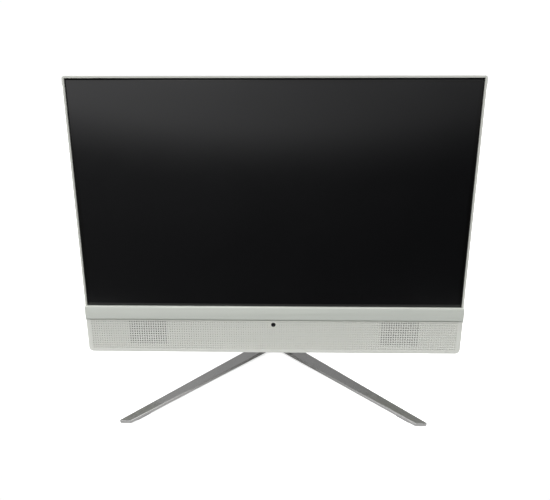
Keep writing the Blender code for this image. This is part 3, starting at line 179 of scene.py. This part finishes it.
# Fine grain: small cells under a coarser mottle, as spark-eroded moulds and rolled metal have.
tree, given, end = shader_group(
    "fine_grain", [("Vector", "vector"), ("Size", "value"), ("Depth", "value"), ("Normal", "vector")],
    [("Grain", "value"), ("Mottle", "value"), ("Normal", "vector")])
scale = maths(tree, "DIVIDE", 1.0, given["Size"])
grain = put(tree, "TexNoise", {"Vector": given["Vector"], "Scale": scale, "Detail": 2.0, "Roughness": 0.6})
mottle = put(tree, "TexNoise", {"Vector": given["Vector"], "Scale": maths(tree, "DIVIDE", scale, 60.0),
                                "Detail": 3.0})
relief = put(tree, "Bump", {"Height": grain.outputs["Fac"], "Strength": given["Depth"], "Distance": 0.0001,
                            "Normal": given["Normal"]})
tree.links.new(grain.outputs["Fac"], end["Grain"])
tree.links.new(mottle.outputs["Fac"], end["Mottle"])
tree.links.new(relief.outputs["Normal"], end["Normal"])
fine_grain = tree

# Handling: soft smudges and a little dust that settles on faces that look up.
tree, given, end = shader_group("handling", [("Vector", "vector"), ("Size", "value"), ("Dust", "value")],
                                [("Smudge", "value"), ("Dust", "value")])
blotch = put(tree, "TexNoise", {"Vector": given["Vector"],
                                "Scale": maths(tree, "DIVIDE", 1.0, given["Size"]),
                                "Detail": 4.0, "Roughness": 0.55, "Distortion": 0.6})
smudge = put(tree, "MapRange", {"Value": blotch.outputs["Fac"], "From Min": 0.35, "From Max": 0.7})
upward = put(tree, "SeparateXYZ", {"Vector": put(tree, "NewGeometry").outputs["Normal"]})
speck = put(tree, "TexNoise", {"Vector": given["Vector"], "Scale": 900.0, "Detail": 2.0})
fall = put(tree, "MapRange", {"Value": upward.outputs["Z"], "From Min": 0.3, "From Max": 1.0})
settled = maths(tree, "MULTIPLY", fall.outputs["Result"], maths(tree, "MULTIPLY", speck.outputs["Fac"],
                                                              given["Dust"]))
tree.links.new(smudge.outputs["Result"], end["Smudge"])
tree.links.new(settled, end["Dust"])
handling = tree


def finish(name, colour, roughness, metallic=0.0, **values):
    """A material with one Principled shader at its plain values. Gives material, tree and shader."""
    made = bpy.data.materials.new(name)
    made.use_nodes = True
    shader = made.node_tree.nodes["Principled BSDF"]
    plain = {"Base Color": (*colour, 1), "Roughness": roughness, "Metallic": metallic, **values}
    for socket, value in plain.items():
        shader.inputs[socket.replace("_", " ")].default_value = value
    made.diffuse_color = (*colour, 1)
    return made, made.node_tree, shader


def use(tree, group, **inputs):
    """Places a node group, with its inputs set or linked. An underscore stands for a space."""
    placed = tree.nodes.new("ShaderNodeGroup")
    placed.node_tree = group
    for name, value in inputs.items():
        socket = placed.inputs[name.replace("_", " ")]
        if isinstance(value, bpy.types.NodeSocket):
            tree.links.new(value, socket)
        else:
            socket.default_value = value
    return placed.outputs


def blend_colours(tree, share, first, second):
    """The colour between first and second, each three numbers or a socket, by a share from 0 to 1."""
    mix = put(tree, "Mix", {"Factor": share}, data_type="RGBA")
    for socket, colour in ((mix.inputs[6], first), (mix.inputs[7], second)):
        if isinstance(colour, bpy.types.NodeSocket):
            tree.links.new(colour, socket)
        else:
            socket.default_value = (*colour, 1)
    return mix.outputs[2]


def between(tree, value, low, high):
    """A value from 0 to 1 spread from low to high."""
    return put(tree, "MapRange", {"Value": value, "To Min": low, "To Max": high}).outputs["Result"]


def moulded(name, colour, shade, roughness, grain_size, grain_depth, edge_radius, worn, dust=0.12,
            metallic=0.0, **values):
    """A finish with fine grain, softened edges rubbed to the worn colour, smudges and a little dust."""
    made, tree, shader = finish(name, colour, roughness, metallic, **values)
    places = put(tree, "TexCoord").outputs["Object"]
    edges = use(tree, rubbed_edge, Radius=edge_radius, Sharpness=3.0)
    skin = use(tree, fine_grain, Vector=places, Size=grain_size, Depth=grain_depth, Normal=edges["Normal"])
    touched = use(tree, handling, Vector=places, Size=0.05, Dust=dust)
    tone = blend_colours(tree, skin["Mottle"], shade, colour)
    rubbed = blend_colours(tree, maths(tree, "MULTIPLY", edges["Edge"], 0.5), tone, worn)
    dusty = blend_colours(tree, touched["Dust"], rubbed, DUST_COLOUR)
    tree.links.new(dusty, shader.inputs["Base Color"])
    uneven = maths(tree, "ADD", between(tree, skin["Grain"], -0.04, 0.04),
                   between(tree, touched["Smudge"], roughness - 0.05, roughness + 0.04))
    tree.links.new(uneven, shader.inputs["Roughness"])
    tree.links.new(skin["Normal"], shader.inputs["Normal"])
    return made


def dress(made, slot, *nodes):
    """Gives CAD nodes, which keep their shape, a finish. The slot is not used."""
    for name in nodes:
        part = frame["nodes"][name]
        part.data.materials.clear()
        part.data.materials.append(made)


satin_silver = moulded(
    "satin_silver", SILVER_LIGHT, SILVER_DARK, roughness=0.21, grain_size=FLAKE_SIZE, grain_depth=0.25,
    edge_radius=0.0007, worn=(0.50, 0.50, 0.49), dust=0.04, metallic=0.95)
dress(satin_silver, "stand_metal", "stand_base", "stand_neck")

# Feet of soft rubber are glued into pockets under the plate, so that it grips the desk and doesn't ring.
soft_rubber = moulded(
    "soft_rubber", (0.030, 0.030, 0.031), (0.018, 0.018, 0.019), roughness=0.82, grain_size=0.0009,
    grain_depth=0.5, edge_radius=0.0004, worn=(0.06, 0.06, 0.06), dust=0.3)
dress(soft_rubber, "rubber", "foot_front_left", "foot_front_right", "foot_rear")

# Screws, washers, nuts and the shaft are turned or pressed steel with a nickel plate.
plated_steel = moulded(
    "plated_steel", (0.56, 0.555, 0.54), (0.44, 0.435, 0.42), roughness=0.30, grain_size=0.0005,
    grain_depth=0.3, edge_radius=0.0003, worn=(0.70, 0.70, 0.69), dust=0.0, metallic=1.0)
dress(plated_steel, "fasteners", "base_screw_left", "base_screw_right", "hinge_nut_left", "hinge_nut_right",
      *(f"hinge_screw_{number}" for number in (1, 2, 3, 4)))
dress(plated_steel, "hinge_steel", "friction_washer_left", "friction_washer_right", "hinge_shaft",
      "hinge_plate")

# ---------------------------------------------------------------- head: housing
# A thin frame of white ABS holds the panel, and the back shell of the same plastic snaps onto it. Both have
# a fine matte skin. Pieces of the head are modelled upright, as (across, depth, height) from the frame's
# front lower edge, and then leaned back with it.
WHITE, WHITE_SHADE = (0.61, 0.62, 0.57), (0.575, 0.585, 0.535)

press = next(joint for joint in frame["joints"] if joint["name"] == "power_press")
head_up = Vector(press["axis"]).normalized()
head_right = Vector((1, 0, 0))
head_turn = Matrix((head_right, head_up.cross(head_right), head_up)).transposed()
upright = [head_turn.transposed() @ corner.co for corner in frame["nodes"]["mid_frame"].data.vertices]
frame_front_low = Vector((0, min(v.y for v in upright), min(v.z for v in upright)))
HEAD = Matrix.Translation(head_turn @ frame_front_low) @ head_turn.to_4x4()


def head_box(node):
    """Lowest and highest corner of a CAD node of the head, in the head's own upright frame."""
    corners = [HEAD.inverted() @ v.co for v in frame["nodes"][node].data.vertices]
    return (Vector(map(min, zip(*corners))), Vector(map(max, zip(*corners))))


white_shell = moulded(
    "white_shell", WHITE, WHITE_SHADE, roughness=0.46, grain_size=0.0007, grain_depth=0.30,
    edge_radius=0.0006, worn=(0.76, 0.76, 0.74))
dress(white_shell, "housing", "mid_frame", "rear_cover", "tray_front")

# ---------------------------------------------------------------- head: screen
# The panel's front is one anti-glare polariser. It stops just short of the frame, and a strip of soft black
# foam fills the gap round it, set back a little, so that a thin dark line frames the screen.
GASKET_SIDE, GASKET_TOP = 0.0013, 0.0017
GASKET_SETBACK = 0.0007
PANEL_EDGE_ROUND = 0.0002
BORDER_SIDE, BORDER_TOP = 0.0035, 0.0030  # black border inside the panel's edge
BORDER_FADE = 0.0004
HAIRLINE = 0.0001  # between two pieces that meet
SHARP_ANGLE = 40  # degrees; an edge where two faces turn by more than this is broken
IN_FRONT, BEHIND = -0.01, 0.02  # where a cutter through the head's front starts and ends
panel_low, panel_high = head_box("lcd_panel")


def select_parts(piece, kind, wanted):
    """In edit mode, selects the faces, edges or verts that wanted() is true of, and nothing else."""
    bpy.context.tool_settings.mesh_select_mode = tuple(kind == k for k in ("verts", "edges", "faces"))
    mesh = bmesh.from_edit_mesh(piece.data)
    for part in (*mesh.faces, *mesh.edges, *mesh.verts):
        part.select = False
    for part in filter(wanted, getattr(mesh, kind)):
        part.select_set(True)
    bmesh.update_edit_mesh(piece.data)


def middle(part):
    """The middle of an edge or face."""
    return sum((v.co for v in part.verts), Vector()) / len(part.verts)


def begin(name, stretch=(1, 1, 1)):
    """Names the primitive just added, puts its size, place and turn into its mesh and opens it to edit."""
    piece = bpy.context.object
    piece.name = piece.data.name = name
    piece.scale = stretch
    bpy.ops.object.transform_apply()
    bpy.ops.object.mode_set(mode="EDIT")
    return piece


def complete(piece, body, made, place=None, crease=30):
    """Closes a piece, moves its mesh into place, smooths it and sends it with its body."""
    if bpy.context.object.mode == "EDIT":
        bpy.ops.object.mode_set(mode="OBJECT")
    if place is not None:
        piece.data.transform(place)
    piece.data.materials.clear()
    piece.data.materials.append(made)
    bpy.ops.object.select_all(action="DESELECT")
    piece.select_set(True)
    bpy.context.view_layer.objects.active = piece
    bpy.ops.object.shade_smooth_by_angle(angle=math.radians(crease))
    piece.select_set(False)
    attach(piece, body)


def subtract(piece, tool, operation="DIFFERENCE"):
    """Cuts a piece by another, which is then gone."""
    cut = piece.modifiers.new("cut", "BOOLEAN")
    cut.operation, cut.object, cut.solver = operation, tool, "EXACT"
    bpy.context.view_layer.objects.active = piece
    bpy.ops.object.modifier_apply(modifier=cut.name)
    bpy.data.objects.remove(tool)


def slab(name, low, high):
    """A block between its lowest and its highest corner, open in edit mode."""
    bpy.ops.object.select_all(action="DESELECT")
    bpy.ops.mesh.primitive_cube_add(size=1, location=(Vector(low) + Vector(high)) / 2)
    return begin(name, Vector(high) - Vector(low))


def round_edges(piece, width, segments=2):
    """Breaks a piece's sharp edges by a narrow round."""
    if bpy.context.object.mode == "EDIT":
        bpy.ops.object.mode_set(mode="OBJECT")
    soften = piece.modifiers.new("soften", "BEVEL")
    soften.width, soften.segments, soften.limit_method = width, segments, "ANGLE"
    soften.angle_limit = math.radians(SHARP_ANGLE)
    bpy.context.view_layer.objects.active = piece
    bpy.ops.object.modifier_apply(modifier=soften.name)


def head_places(tree):
    """Object coordinates, turned upright as the head's own (across, depth, height)."""
    place = put(tree, "TexCoord").outputs["Object"]
    return put(tree, "Mapping", {"Vector": place, "Location": HEAD.translation,
                                 "Rotation": HEAD.to_euler()}, vector_type="TEXTURE").outputs["Vector"]


screen_off, tree, shader = finish("screen_off", (0.004, 0.004, 0.0045), 0.24, Specular_IOR_Level=0.4)
places = head_places(tree)
where = put(tree, "SeparateXYZ", {"Vector": places}).outputs
from_side = maths(tree, "SUBTRACT", panel_high.x - GASKET_SIDE, maths(tree, "ABSOLUTE", where["X"]))
from_top = maths(tree, "SUBTRACT", panel_high.z - GASKET_TOP, where["Z"])
inside = maths(tree, "MULTIPLY",
               put(tree, "MapRange", {"Value": from_side, "From Min": BORDER_SIDE,
                                      "From Max": BORDER_SIDE + BORDER_FADE}).outputs["Result"],
               put(tree, "MapRange", {"Value": from_top, "From Min": BORDER_TOP,
                                      "From Max": BORDER_TOP + BORDER_FADE}).outputs["Result"])
touched = use(tree, handling, Vector=places, Size=0.12, Dust=0.0)
cells = blend_colours(tree, inside, (0.0018, 0.0018, 0.0018), (0.0032, 0.0033, 0.0037))
tree.links.new(blend_colours(tree, maths(tree, "MULTIPLY", touched["Smudge"], 0.1), cells,
                             (0.010, 0.010, 0.011)), shader.inputs["Base Color"])
frosting = use(tree, fine_grain, Vector=places, Size=0.0003, Depth=0.1,
               Normal=put(tree, "NewGeometry").outputs["Normal"])
tree.links.new(between(tree, touched["Smudge"], 0.15, 0.19), shader.inputs["Roughness"])
tree.links.new(frosting["Normal"], shader.inputs["Normal"])

front_low = panel_low + Vector((GASKET_SIDE, 0, 0))
front_high = panel_high - Vector((GASKET_SIDE, 0, GASKET_TOP))
panel = slab("screen_panel", front_low, front_high)
round_edges(panel, PANEL_EDGE_ROUND)
complete(panel, "head", screen_off, HEAD)
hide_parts("lcd_panel")

black_foam = moulded(
    "black_foam", (0.006, 0.006, 0.006), (0.004, 0.004, 0.004), roughness=0.9, grain_size=0.0006,
    grain_depth=0.6, edge_radius=0.0002, worn=(0.008, 0.008, 0.008), dust=0.0, Specular_IOR_Level=0.15)
gasket = slab("screen_gasket", panel_low + Vector((0, GASKET_SETBACK, 0)), panel_high)
bpy.ops.object.mode_set(mode="OBJECT")
window = slab("window", (front_low.x - HAIRLINE, IN_FRONT, front_low.z - 1),
              (front_high.x + HAIRLINE, BEHIND, front_high.z + HAIRLINE))
bpy.ops.object.mode_set(mode="OBJECT")
subtract(gasket, window)
round_edges(gasket, PANEL_EDGE_ROUND)
complete(gasket, "head", black_foam, HEAD)

# Behind it lie the light guide in its thin metal tray and the flat cable to the main board.
light_tray = moulded(
    "light_tray", (0.60, 0.60, 0.59), (0.52, 0.52, 0.51), roughness=0.35, grain_size=0.001,
    grain_depth=0.15, edge_radius=0.0003, worn=(0.72, 0.72, 0.72), dust=0.0, metallic=0.3)
dress(light_tray, "backlight", "lcd_backlight")

# ---------------------------------------------------------------- head: chin
# Under the screen a smooth white band runs across. Below it is the speaker grille, a moulded strip with
# twelve rows of small square holes. They go right through in front of the speakers and are blind elsewhere.
HOLE_ROWS = 12
HOLE_PITCH = 0.0031
HOLE_ROW_PITCH = 0.00335
HOLE_LOW = 0.0059  # the lowest row above the strip's lower edge
PLAIN_END = 0.0042  # the least that is left plain at each end of the rows
HOLE_SIZE = 0.00175
HOLE_CORNER = 0.00036
BLIND_DEPTH = 0.0011
RIM_ROUND = 0.0005
STRIP_CORNER = 0.006  # radius of its two lower corners
CAMERA_CLEAR = 0.0052  # radius round the camera that has no holes
CAMERA_GAP = 0.0003
OPEN_BESIDE, OPEN_BELOW = 0.004, 0.001  # how far the open holes reach past a speaker's cone

strip_low, strip_high = head_box("speaker_grille")
lens_low, lens_high = head_box("camera_lens")
lens_middle = (lens_low + lens_high) / 2
lens_radius = (lens_high.x - lens_low.x) / 2
columns = 2 * int((strip_high.x - PLAIN_END) / HOLE_PITCH)
field_right = columns * HOLE_PITCH / 2
field_low = strip_low.z + HOLE_LOW - HOLE_ROW_PITCH / 2
field_high = field_low + HOLE_ROWS * HOLE_ROW_PITCH
speakers = [head_box("speaker_cone_left"), head_box("speaker_cone_right")]


def in_front_of_speaker(place):
    """True where a hole has a speaker behind it."""
    return any(low.x - OPEN_BESIDE < place.x < high.x + OPEN_BESIDE and place.z > low.z - OPEN_BELOW
               for low, high in speakers)


# The band: its top front edge is well rounded, a ledge reaches back to the screen, and the groove between
# band and grille is moulded into its foot. The groove stops short of the sides, where plain cheeks close it.
BAND_ROUND = 0.0010
GROOVE_HEIGHT = 0.0022
GROOVE_FLOOR = 0.0007  # behind the grille's face
CHEEK_WIDTH = 0.006
LEDGE_THICKNESS = 0.0014
LEDGE_LAP = 0.001  # how far the ledge runs into the band
SMALL_ROUND = 0.00035
band_low, band_high = head_box("chin_band")
groove_top = strip_high.z + GROOVE_HEIGHT
cheek = band_high.x - CHEEK_WIDTH
band = slab("chin_band_piece", (band_low.x, band_low.y, strip_high.z + HAIRLINE), band_high)
select_parts(band, "edges", lambda e: middle(e).z > band_high.z - 1e-6 and middle(e).y < band_low.y + 1e-6)
bpy.ops.mesh.bevel(offset=BAND_ROUND, segments=5)
bpy.ops.object.mode_set(mode="OBJECT")
for name, side, back in (("cheek_cut", band_high.x + 0.01, strip_low.y),
                         ("groove_cut", cheek, strip_low.y + GROOVE_FLOOR)):
    cutter = slab(name, (-side, IN_FRONT, 0), (side, back, groove_top))
    bpy.ops.object.mode_set(mode="OBJECT")
    subtract(band, cutter)
ledge = slab("ledge", (panel_low.x, band_high.y - LEDGE_LAP, band_high.z - LEDGE_THICKNESS),
             (panel_high.x, panel_low.y - HAIRLINE, band_high.z))
bpy.ops.object.mode_set(mode="OBJECT")
subtract(band, ledge, "UNION")
round_edges(band, SMALL_ROUND)
smooth_white = moulded(
    "smooth_white", (0.575, 0.60, 0.55), (0.545, 0.57, 0.525), roughness=0.38, grain_size=0.0006,
    grain_depth=0.12, edge_radius=0.0006, worn=(0.68, 0.69, 0.66), Coat_Weight=0.1, Coat_Roughness=0.3)
complete(band, "head", smooth_white, HEAD)
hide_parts("chin_band")

# The blank for the strip's outline, and the camera's hole in it.
outline = slab("strip_outline", (strip_low.x, -0.005, strip_low.z), (strip_high.x, 0.005, strip_high.z))
select_parts(outline, "edges", lambda e: middle(e).z < strip_low.z + 1e-5 and abs(middle(e).y) < 1e-5)
bpy.ops.mesh.bevel(offset=STRIP_CORNER, segments=6, clamp_overlap=False)
bpy.ops.object.mode_set(mode="OBJECT")
bpy.ops.object.select_all(action="DESELECT")
bpy.ops.mesh.primitive_cylinder_add(vertices=40, radius=lens_radius + CAMERA_GAP, depth=0.02,
                                    location=(0, 0, lens_middle.z), rotation=(math.pi / 2, 0, 0))
lens_hole = begin("lens_hole")
bpy.ops.object.mode_set(mode="OBJECT")
subtract(outline, lens_hole)

# The strip starts as a grid with one cell for each hole and a plain margin round them, cut to the outline.
bpy.ops.object.select_all(action="DESELECT")
bpy.ops.mesh.primitive_grid_add(
    x_subdivisions=columns, y_subdivisions=HOLE_ROWS, size=1,
    location=(0, strip_low.y, (field_low + field_high) / 2), rotation=(math.pi / 2, 0, 0))
grille = begin("speaker_grille_strip", (2 * field_right, field_high - field_low, 1))
for axis, low_edge, high_edge, margin in ((0, -field_right, field_right, 0.008),
                                          (2, field_low, field_high, 0.006)):
    for edge_place, shift in ((low_edge, -margin), (high_edge, margin)):
        select_parts(grille, "edges", lambda e: all(abs(v.co[axis] - edge_place) < 1e-6 for v in e.verts))
        move = [0, 0, 0]
        move[axis] = shift
        bpy.ops.mesh.extrude_edges_move(TRANSFORM_OT_translate={"value": move})
bpy.ops.mesh.select_all(action="SELECT")
bpy.ops.mesh.extrude_region_move(TRANSFORM_OT_translate={"value": (0, 0.003, 0)})
bpy.ops.mesh.select_all(action="SELECT")
bpy.ops.mesh.normals_make_consistent(inside=False)
bpy.ops.object.mode_set(mode="OBJECT")
subtract(grille, outline, "INTERSECT")

# Only the front sheet is kept; each cell gets its hole, and then the strip its thickness.
bpy.ops.object.select_all(action="DESELECT")
grille.select_set(True)
bpy.context.view_layer.objects.active = grille
bpy.ops.object.mode_set(mode="EDIT")
select_parts(grille, "faces", lambda f: f.normal.y > -0.9 or middle(f).y > strip_low.y + 0.001)
bpy.ops.mesh.delete(type="FACE")
cell = HOLE_PITCH * HOLE_ROW_PITCH
select_parts(grille, "faces", lambda f: len(f.verts) == 4 and abs(f.calc_area() - cell) < cell * 0.02
             and (middle(f) - lens_middle).xz.length > CAMERA_CLEAR)
bpy.ops.mesh.inset(thickness=(HOLE_PITCH - HOLE_SIZE) / 2, use_individual=True)
bpy.ops.mesh.bevel(offset=HOLE_CORNER, segments=1, affect="VERTICES", clamp_overlap=False)
hole_area = HOLE_SIZE * (HOLE_SIZE + HOLE_ROW_PITCH - HOLE_PITCH)


def is_hole(face):
    """True of the small face with broken corners that a cell's hole starts from."""
    return len(face.verts) == 8 and 0.6 * hole_area < face.calc_area() < hole_area


def on_front_rim(edge):
    """True of an edge where the strip's face turns into its sides, its foot or its lower corners."""
    place = middle(edge)
    if len(edge.link_faces) != 2 or abs(place.y - strip_low.y) >= 1e-5 or edge.calc_face_angle(0) <= 1.0:
        return False
    from_side, from_foot = strip_high.x - abs(place.x), place.z - strip_low.z
    if min(from_side, from_foot) < 1e-5:
        return True
    reach = math.hypot(STRIP_CORNER - from_side, STRIP_CORNER - from_foot)
    return (max(from_side, from_foot) < STRIP_CORNER + 0.0002 and reach > STRIP_CORNER - 0.0005
            and not any(map(is_hole, edge.link_faces)))


select_parts(grille, "faces", lambda f: is_hole(f) and in_front_of_speaker(middle(f)))
bpy.ops.mesh.delete(type="FACE")
bpy.ops.object.mode_set(mode="OBJECT")
wall = grille.modifiers.new("wall", "SOLIDIFY")
wall.thickness, wall.offset = strip_high.y - strip_low.y, -1
bpy.ops.object.modifier_apply(modifier=wall.name)
bpy.ops.object.mode_set(mode="EDIT")
select_parts(grille, "faces", lambda f: is_hole(f) and f.normal.y < -0.9)
bpy.ops.mesh.extrude_faces_move(TRANSFORM_OT_shrink_fatten={"value": -BLIND_DEPTH})
select_parts(grille, "edges", on_front_rim)
bpy.ops.mesh.bevel(offset=RIM_ROUND, segments=2, clamp_overlap=True)

grille_white = moulded(
    "grille_white", (0.65, 0.66, 0.615), (0.615, 0.625, 0.58), roughness=0.5, grain_size=0.0006,
    grain_depth=0.2, edge_radius=0.0002, worn=(0.70, 0.70, 0.68))
complete(grille, "head", grille_white, HEAD)
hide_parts("speaker_grille")

# The camera sits in the strip's middle: a black ring pressed in from behind, with a small glass dome.
black_gloss, tree, shader = finish("black_gloss", (0.004, 0.004, 0.0045), 0.12, Coat_Weight=0.5,
                                   Coat_Roughness=0.05)
touched = use(tree, handling, Vector=put(tree, "TexCoord").outputs["Object"], Size=0.004, Dust=0.1)
tree.links.new(between(tree, touched["Smudge"], 0.08, 0.2), shader.inputs["Roughness"])
tree.links.new(blend_colours(tree, touched["Dust"], (0.004, 0.004, 0.005), (0.02, 0.02, 0.02)),
               shader.inputs["Base Color"])
black_satin = moulded(
    "black_satin", (0.016, 0.016, 0.017), (0.010, 0.010, 0.011), roughness=0.42, grain_size=0.0005,
    grain_depth=0.25, edge_radius=0.0002, worn=(0.04, 0.04, 0.04), dust=0.06)

bpy.ops.object.select_all(action="DESELECT")
bpy.ops.mesh.primitive_cylinder_add(
    vertices=48, radius=lens_radius, depth=lens_high.y - lens_low.y, rotation=(math.pi / 2, 0, 0),
    location=lens_middle)
ring = begin("camera_ring")
for share, sink in ((0.28, 0), (0.10, 0.0006), (0.12, 0.0002)):  # a flat rim and two steps inwards
    select_parts(ring, "faces", lambda f: len(f.verts) == 48 and f.normal.y < -0.9)
    bpy.ops.mesh.inset(thickness=lens_radius * share)
    bpy.ops.transform.translate(value=(0, sink, 0))
select_parts(ring, "edges", lambda e: len(e.link_faces) == 2 and e.calc_face_angle(0) > 0.7
             and middle(e).y < lens_low.y + 1e-5)
bpy.ops.mesh.bevel(offset=0.0002, segments=2)
complete(ring, "head", black_gloss, HEAD)
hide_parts("camera_lens")

bpy.ops.object.select_all(action="DESELECT")
bpy.ops.mesh.primitive_uv_sphere_add(
    segments=32, ring_count=16, radius=lens_radius * 0.52, rotation=(math.pi / 2, 0, 0),
    location=(0, lens_low.y + 0.0007, lens_middle.z))
dome = begin("camera_glass", (1, 1, 0.3))
bpy.ops.mesh.select_all(action="SELECT")
bpy.ops.mesh.bisect(plane_co=(0, lens_low.y + 0.0009, 0), plane_no=(0, 1, 0), clear_outer=True)
bpy.ops.mesh.select_all(action="SELECT")
bpy.ops.mesh.remove_doubles(threshold=1e-7)
bpy.ops.mesh.select_non_manifold()
bpy.ops.mesh.edge_face_add()
complete(dome, "head", black_gloss, HEAD, crease=60)

# Behind the strip are the camera's board and the two closed speaker boxes with their oval drivers.
dress(black_satin, "black_plastic", "speaker_box_left", "speaker_box_right", "display_cable",
      "blower_housing", "blower_rotor", "headset_jack", "power_inlet", "laser_sled")
paper_cone = moulded(
    "paper_cone", (0.020, 0.020, 0.021), (0.012, 0.012, 0.012), roughness=0.75, grain_size=0.0012,
    grain_depth=0.5, edge_radius=0.0003, worn=(0.04, 0.04, 0.04), dust=0.1)
dress(paper_cone, "speaker_cone", "speaker_cone_left", "speaker_cone_right")

# Three keys stand in the frame's underside at the right: power, and the screen's brightness.
dress(white_shell, "keys", "power_button", "brightness_up_button", "brightness_down_button", "eject_button")

# ---------------------------------------------------------------- head: sockets
# Each socket is a folded and plated steel shell, soldered to the main board. A moulded black tongue stands
# in it and carries flat spring contacts with a thin gold finish. The shells' mouths face down or sideways.
SHELL_WALL = 0.0006
TONGUE_SUNK = 0.00005  # into the shell's inner end
CONTACT_PROUD, CONTACT_SUNK = 0.00018, 0.0001
CONTACT_START, CONTACT_END = 0.12, 0.86  # shares of the tongue's length
MOUTH_DOWN = Matrix(((-1, 0, 0), (0, 1, 0), (0, 0, -1)))
MOUTH_SIDE = Matrix(((0, 0, -1), (0, 1, 0), (1, 0, 0)))
dress(plated_steel, "sockets", "lan_socket", "hdmi_socket", "rear_usb_socket_outer", "rear_usb_socket_inner",
      "side_usb_socket_lower", "side_usb_socket_upper", "card_reader")
gold_finish = moulded(
    "gold_finish", (0.78, 0.60, 0.30), (0.70, 0.52, 0.24), roughness=0.25, grain_size=0.0003,
    grain_depth=0.15, edge_radius=0.0001, worn=(0.85, 0.70, 0.42), dust=0.0, metallic=1.0)


def seat(node, mouth):
    """The middle of a socket's inner end, turned so that its up points out of the mouth."""
    low, high = head_box(node)
    depth = abs((mouth.transposed() @ (high - low)).z)
    end = (low + high) / 2 - mouth @ Vector((0, 0, depth / 2 - SHELL_WALL))
    return HEAD @ Matrix.Translation(end) @ mouth.to_4x4()


def spread(piece, places):
    """Copies a piece to each place, with its own mesh, and joins the copies to one."""
    copies = []
    for place in places:
        copy = piece.copy()
        copy.data = piece.data.copy()
        copy.data.transform(place)
        bpy.context.scene.collection.objects.link(copy)
        copies.append(copy)
    bpy.ops.object.select_all(action="DESELECT")
    for copy in copies:
        copy.select_set(True)
    bpy.context.view_layer.objects.active = copies[0]
    bpy.ops.object.join()
    name = piece.name
    bpy.data.objects.remove(piece)
    copies[0].name = copies[0].data.name = name
    return copies[0]


# Four of the sockets share one tongue.
WIDE_TONGUE = (0.0105, 0.0019, 0.0112, 0.0008, 4, 0.0023, 0.0011)
for node, mouth, (width, thickness, length, offset, contacts, pitch, contact_width) in (
        ("side_usb_socket_lower", MOUTH_SIDE, WIDE_TONGUE),
        ("side_usb_socket_upper", MOUTH_SIDE, WIDE_TONGUE),
        ("rear_usb_socket_outer", MOUTH_DOWN, WIDE_TONGUE),
        ("rear_usb_socket_inner", MOUTH_DOWN, WIDE_TONGUE),
        ("hdmi_socket", MOUTH_DOWN, (0.0115, 0.0014, 0.0090, 0.0, 10, 0.0010, 0.00045)),
        ("lan_socket", MOUTH_DOWN, (0.0120, 0.0026, 0.0110, 0.0030, 8, 0.00105, 0.00045)),
        ("card_reader", MOUTH_SIDE, (0.0230, 0.0009, 0.0040, 0.0, 9, 0.0025, 0.0009))):
    tongue = slab(node + "_tongue", (-width / 2, offset - thickness / 2, -TONGUE_SUNK),
                  (width / 2, offset + thickness / 2, length))
    select_parts(tongue, "edges", lambda e: middle(e).z > length - 1e-6 and abs(middle(e).x) < 1e-6)
    bpy.ops.mesh.bevel(offset=thickness * 0.3, segments=2)
    round_edges(tongue, 0.00015)
    complete(tongue, "head", black_satin, seat(node, mouth))
    face = offset - thickness / 2
    finger = slab(node + "_contacts", (-contact_width / 2, face - CONTACT_PROUD, length * CONTACT_START),
                  (contact_width / 2, face + CONTACT_SUNK, length * CONTACT_END))
    round_edges(finger, CONTACT_PROUD / 3, segments=1)
    fingers = spread(finger, [Matrix.Translation(((number - (contacts - 1) / 2) * pitch, 0, 0))
                              for number in range(contacts)])
    complete(fingers, "head", gold_finish, seat(node, mouth))

# The power inlet is a black barrel round a plated pin with a rounded tip.
PIN_RADIUS, PIN_LENGTH, PIN_TIP_ROUND = 0.0009, 0.0095, 0.0006
bpy.ops.object.select_all(action="DESELECT")
bpy.ops.mesh.primitive_cylinder_add(vertices=20, radius=PIN_RADIUS, depth=PIN_LENGTH,
                                    location=(0, 0, PIN_LENGTH / 2))
pin = begin("power_inlet_pin")
select_parts(pin, "edges", lambda e: abs(e.verts[0].co.z - e.verts[1].co.z) < 1e-6
             and middle(e).z > PIN_LENGTH - 1e-5)
bpy.ops.mesh.bevel(offset=PIN_TIP_ROUND, segments=4)
complete(pin, "head", plated_steel, seat("power_inlet", MOUTH_DOWN))

# ---------------------------------------------------------------- head: inside
# A pressed steel plate carries the boards, the disc drives and the hinge.
sheet_steel = moulded(
    "sheet_steel", (0.50, 0.50, 0.49), (0.40, 0.40, 0.39), roughness=0.38, grain_size=0.0015,
    grain_depth=0.2, edge_radius=0.0003, worn=(0.64, 0.64, 0.63), dust=0.0, metallic=0.95)
dress(sheet_steel, "hinge_steel", "chassis_plate")
dress(sheet_steel, "drive_case", "optical_drive_case", "hard_drive", "disc_spindle")
dress(plated_steel, "fasteners", "clock_battery")
green_board = moulded(
    "green_board", (0.012, 0.085, 0.040), (0.008, 0.055, 0.028), roughness=0.35, grain_size=0.002,
    grain_depth=0.3, edge_radius=0.0002, worn=(0.10, 0.16, 0.08), dust=0.0, Coat_Weight=0.3,
    Coat_Roughness=0.25)
dress(green_board, "circuit_board", "motherboard", "memory_module", "wifi_card", "camera_board")
raw_copper = moulded(
    "raw_copper", (0.72, 0.36, 0.22), (0.58, 0.27, 0.16), roughness=0.32, grain_size=0.0008,
    grain_depth=0.2, edge_radius=0.0003, worn=(0.82, 0.48, 0.33), dust=0.0, metallic=1.0)
dress(raw_copper, "copper", "cold_plate", "heat_pipe", "fin_stack")
dress(black_satin, "black_plastic", "disc_tray")
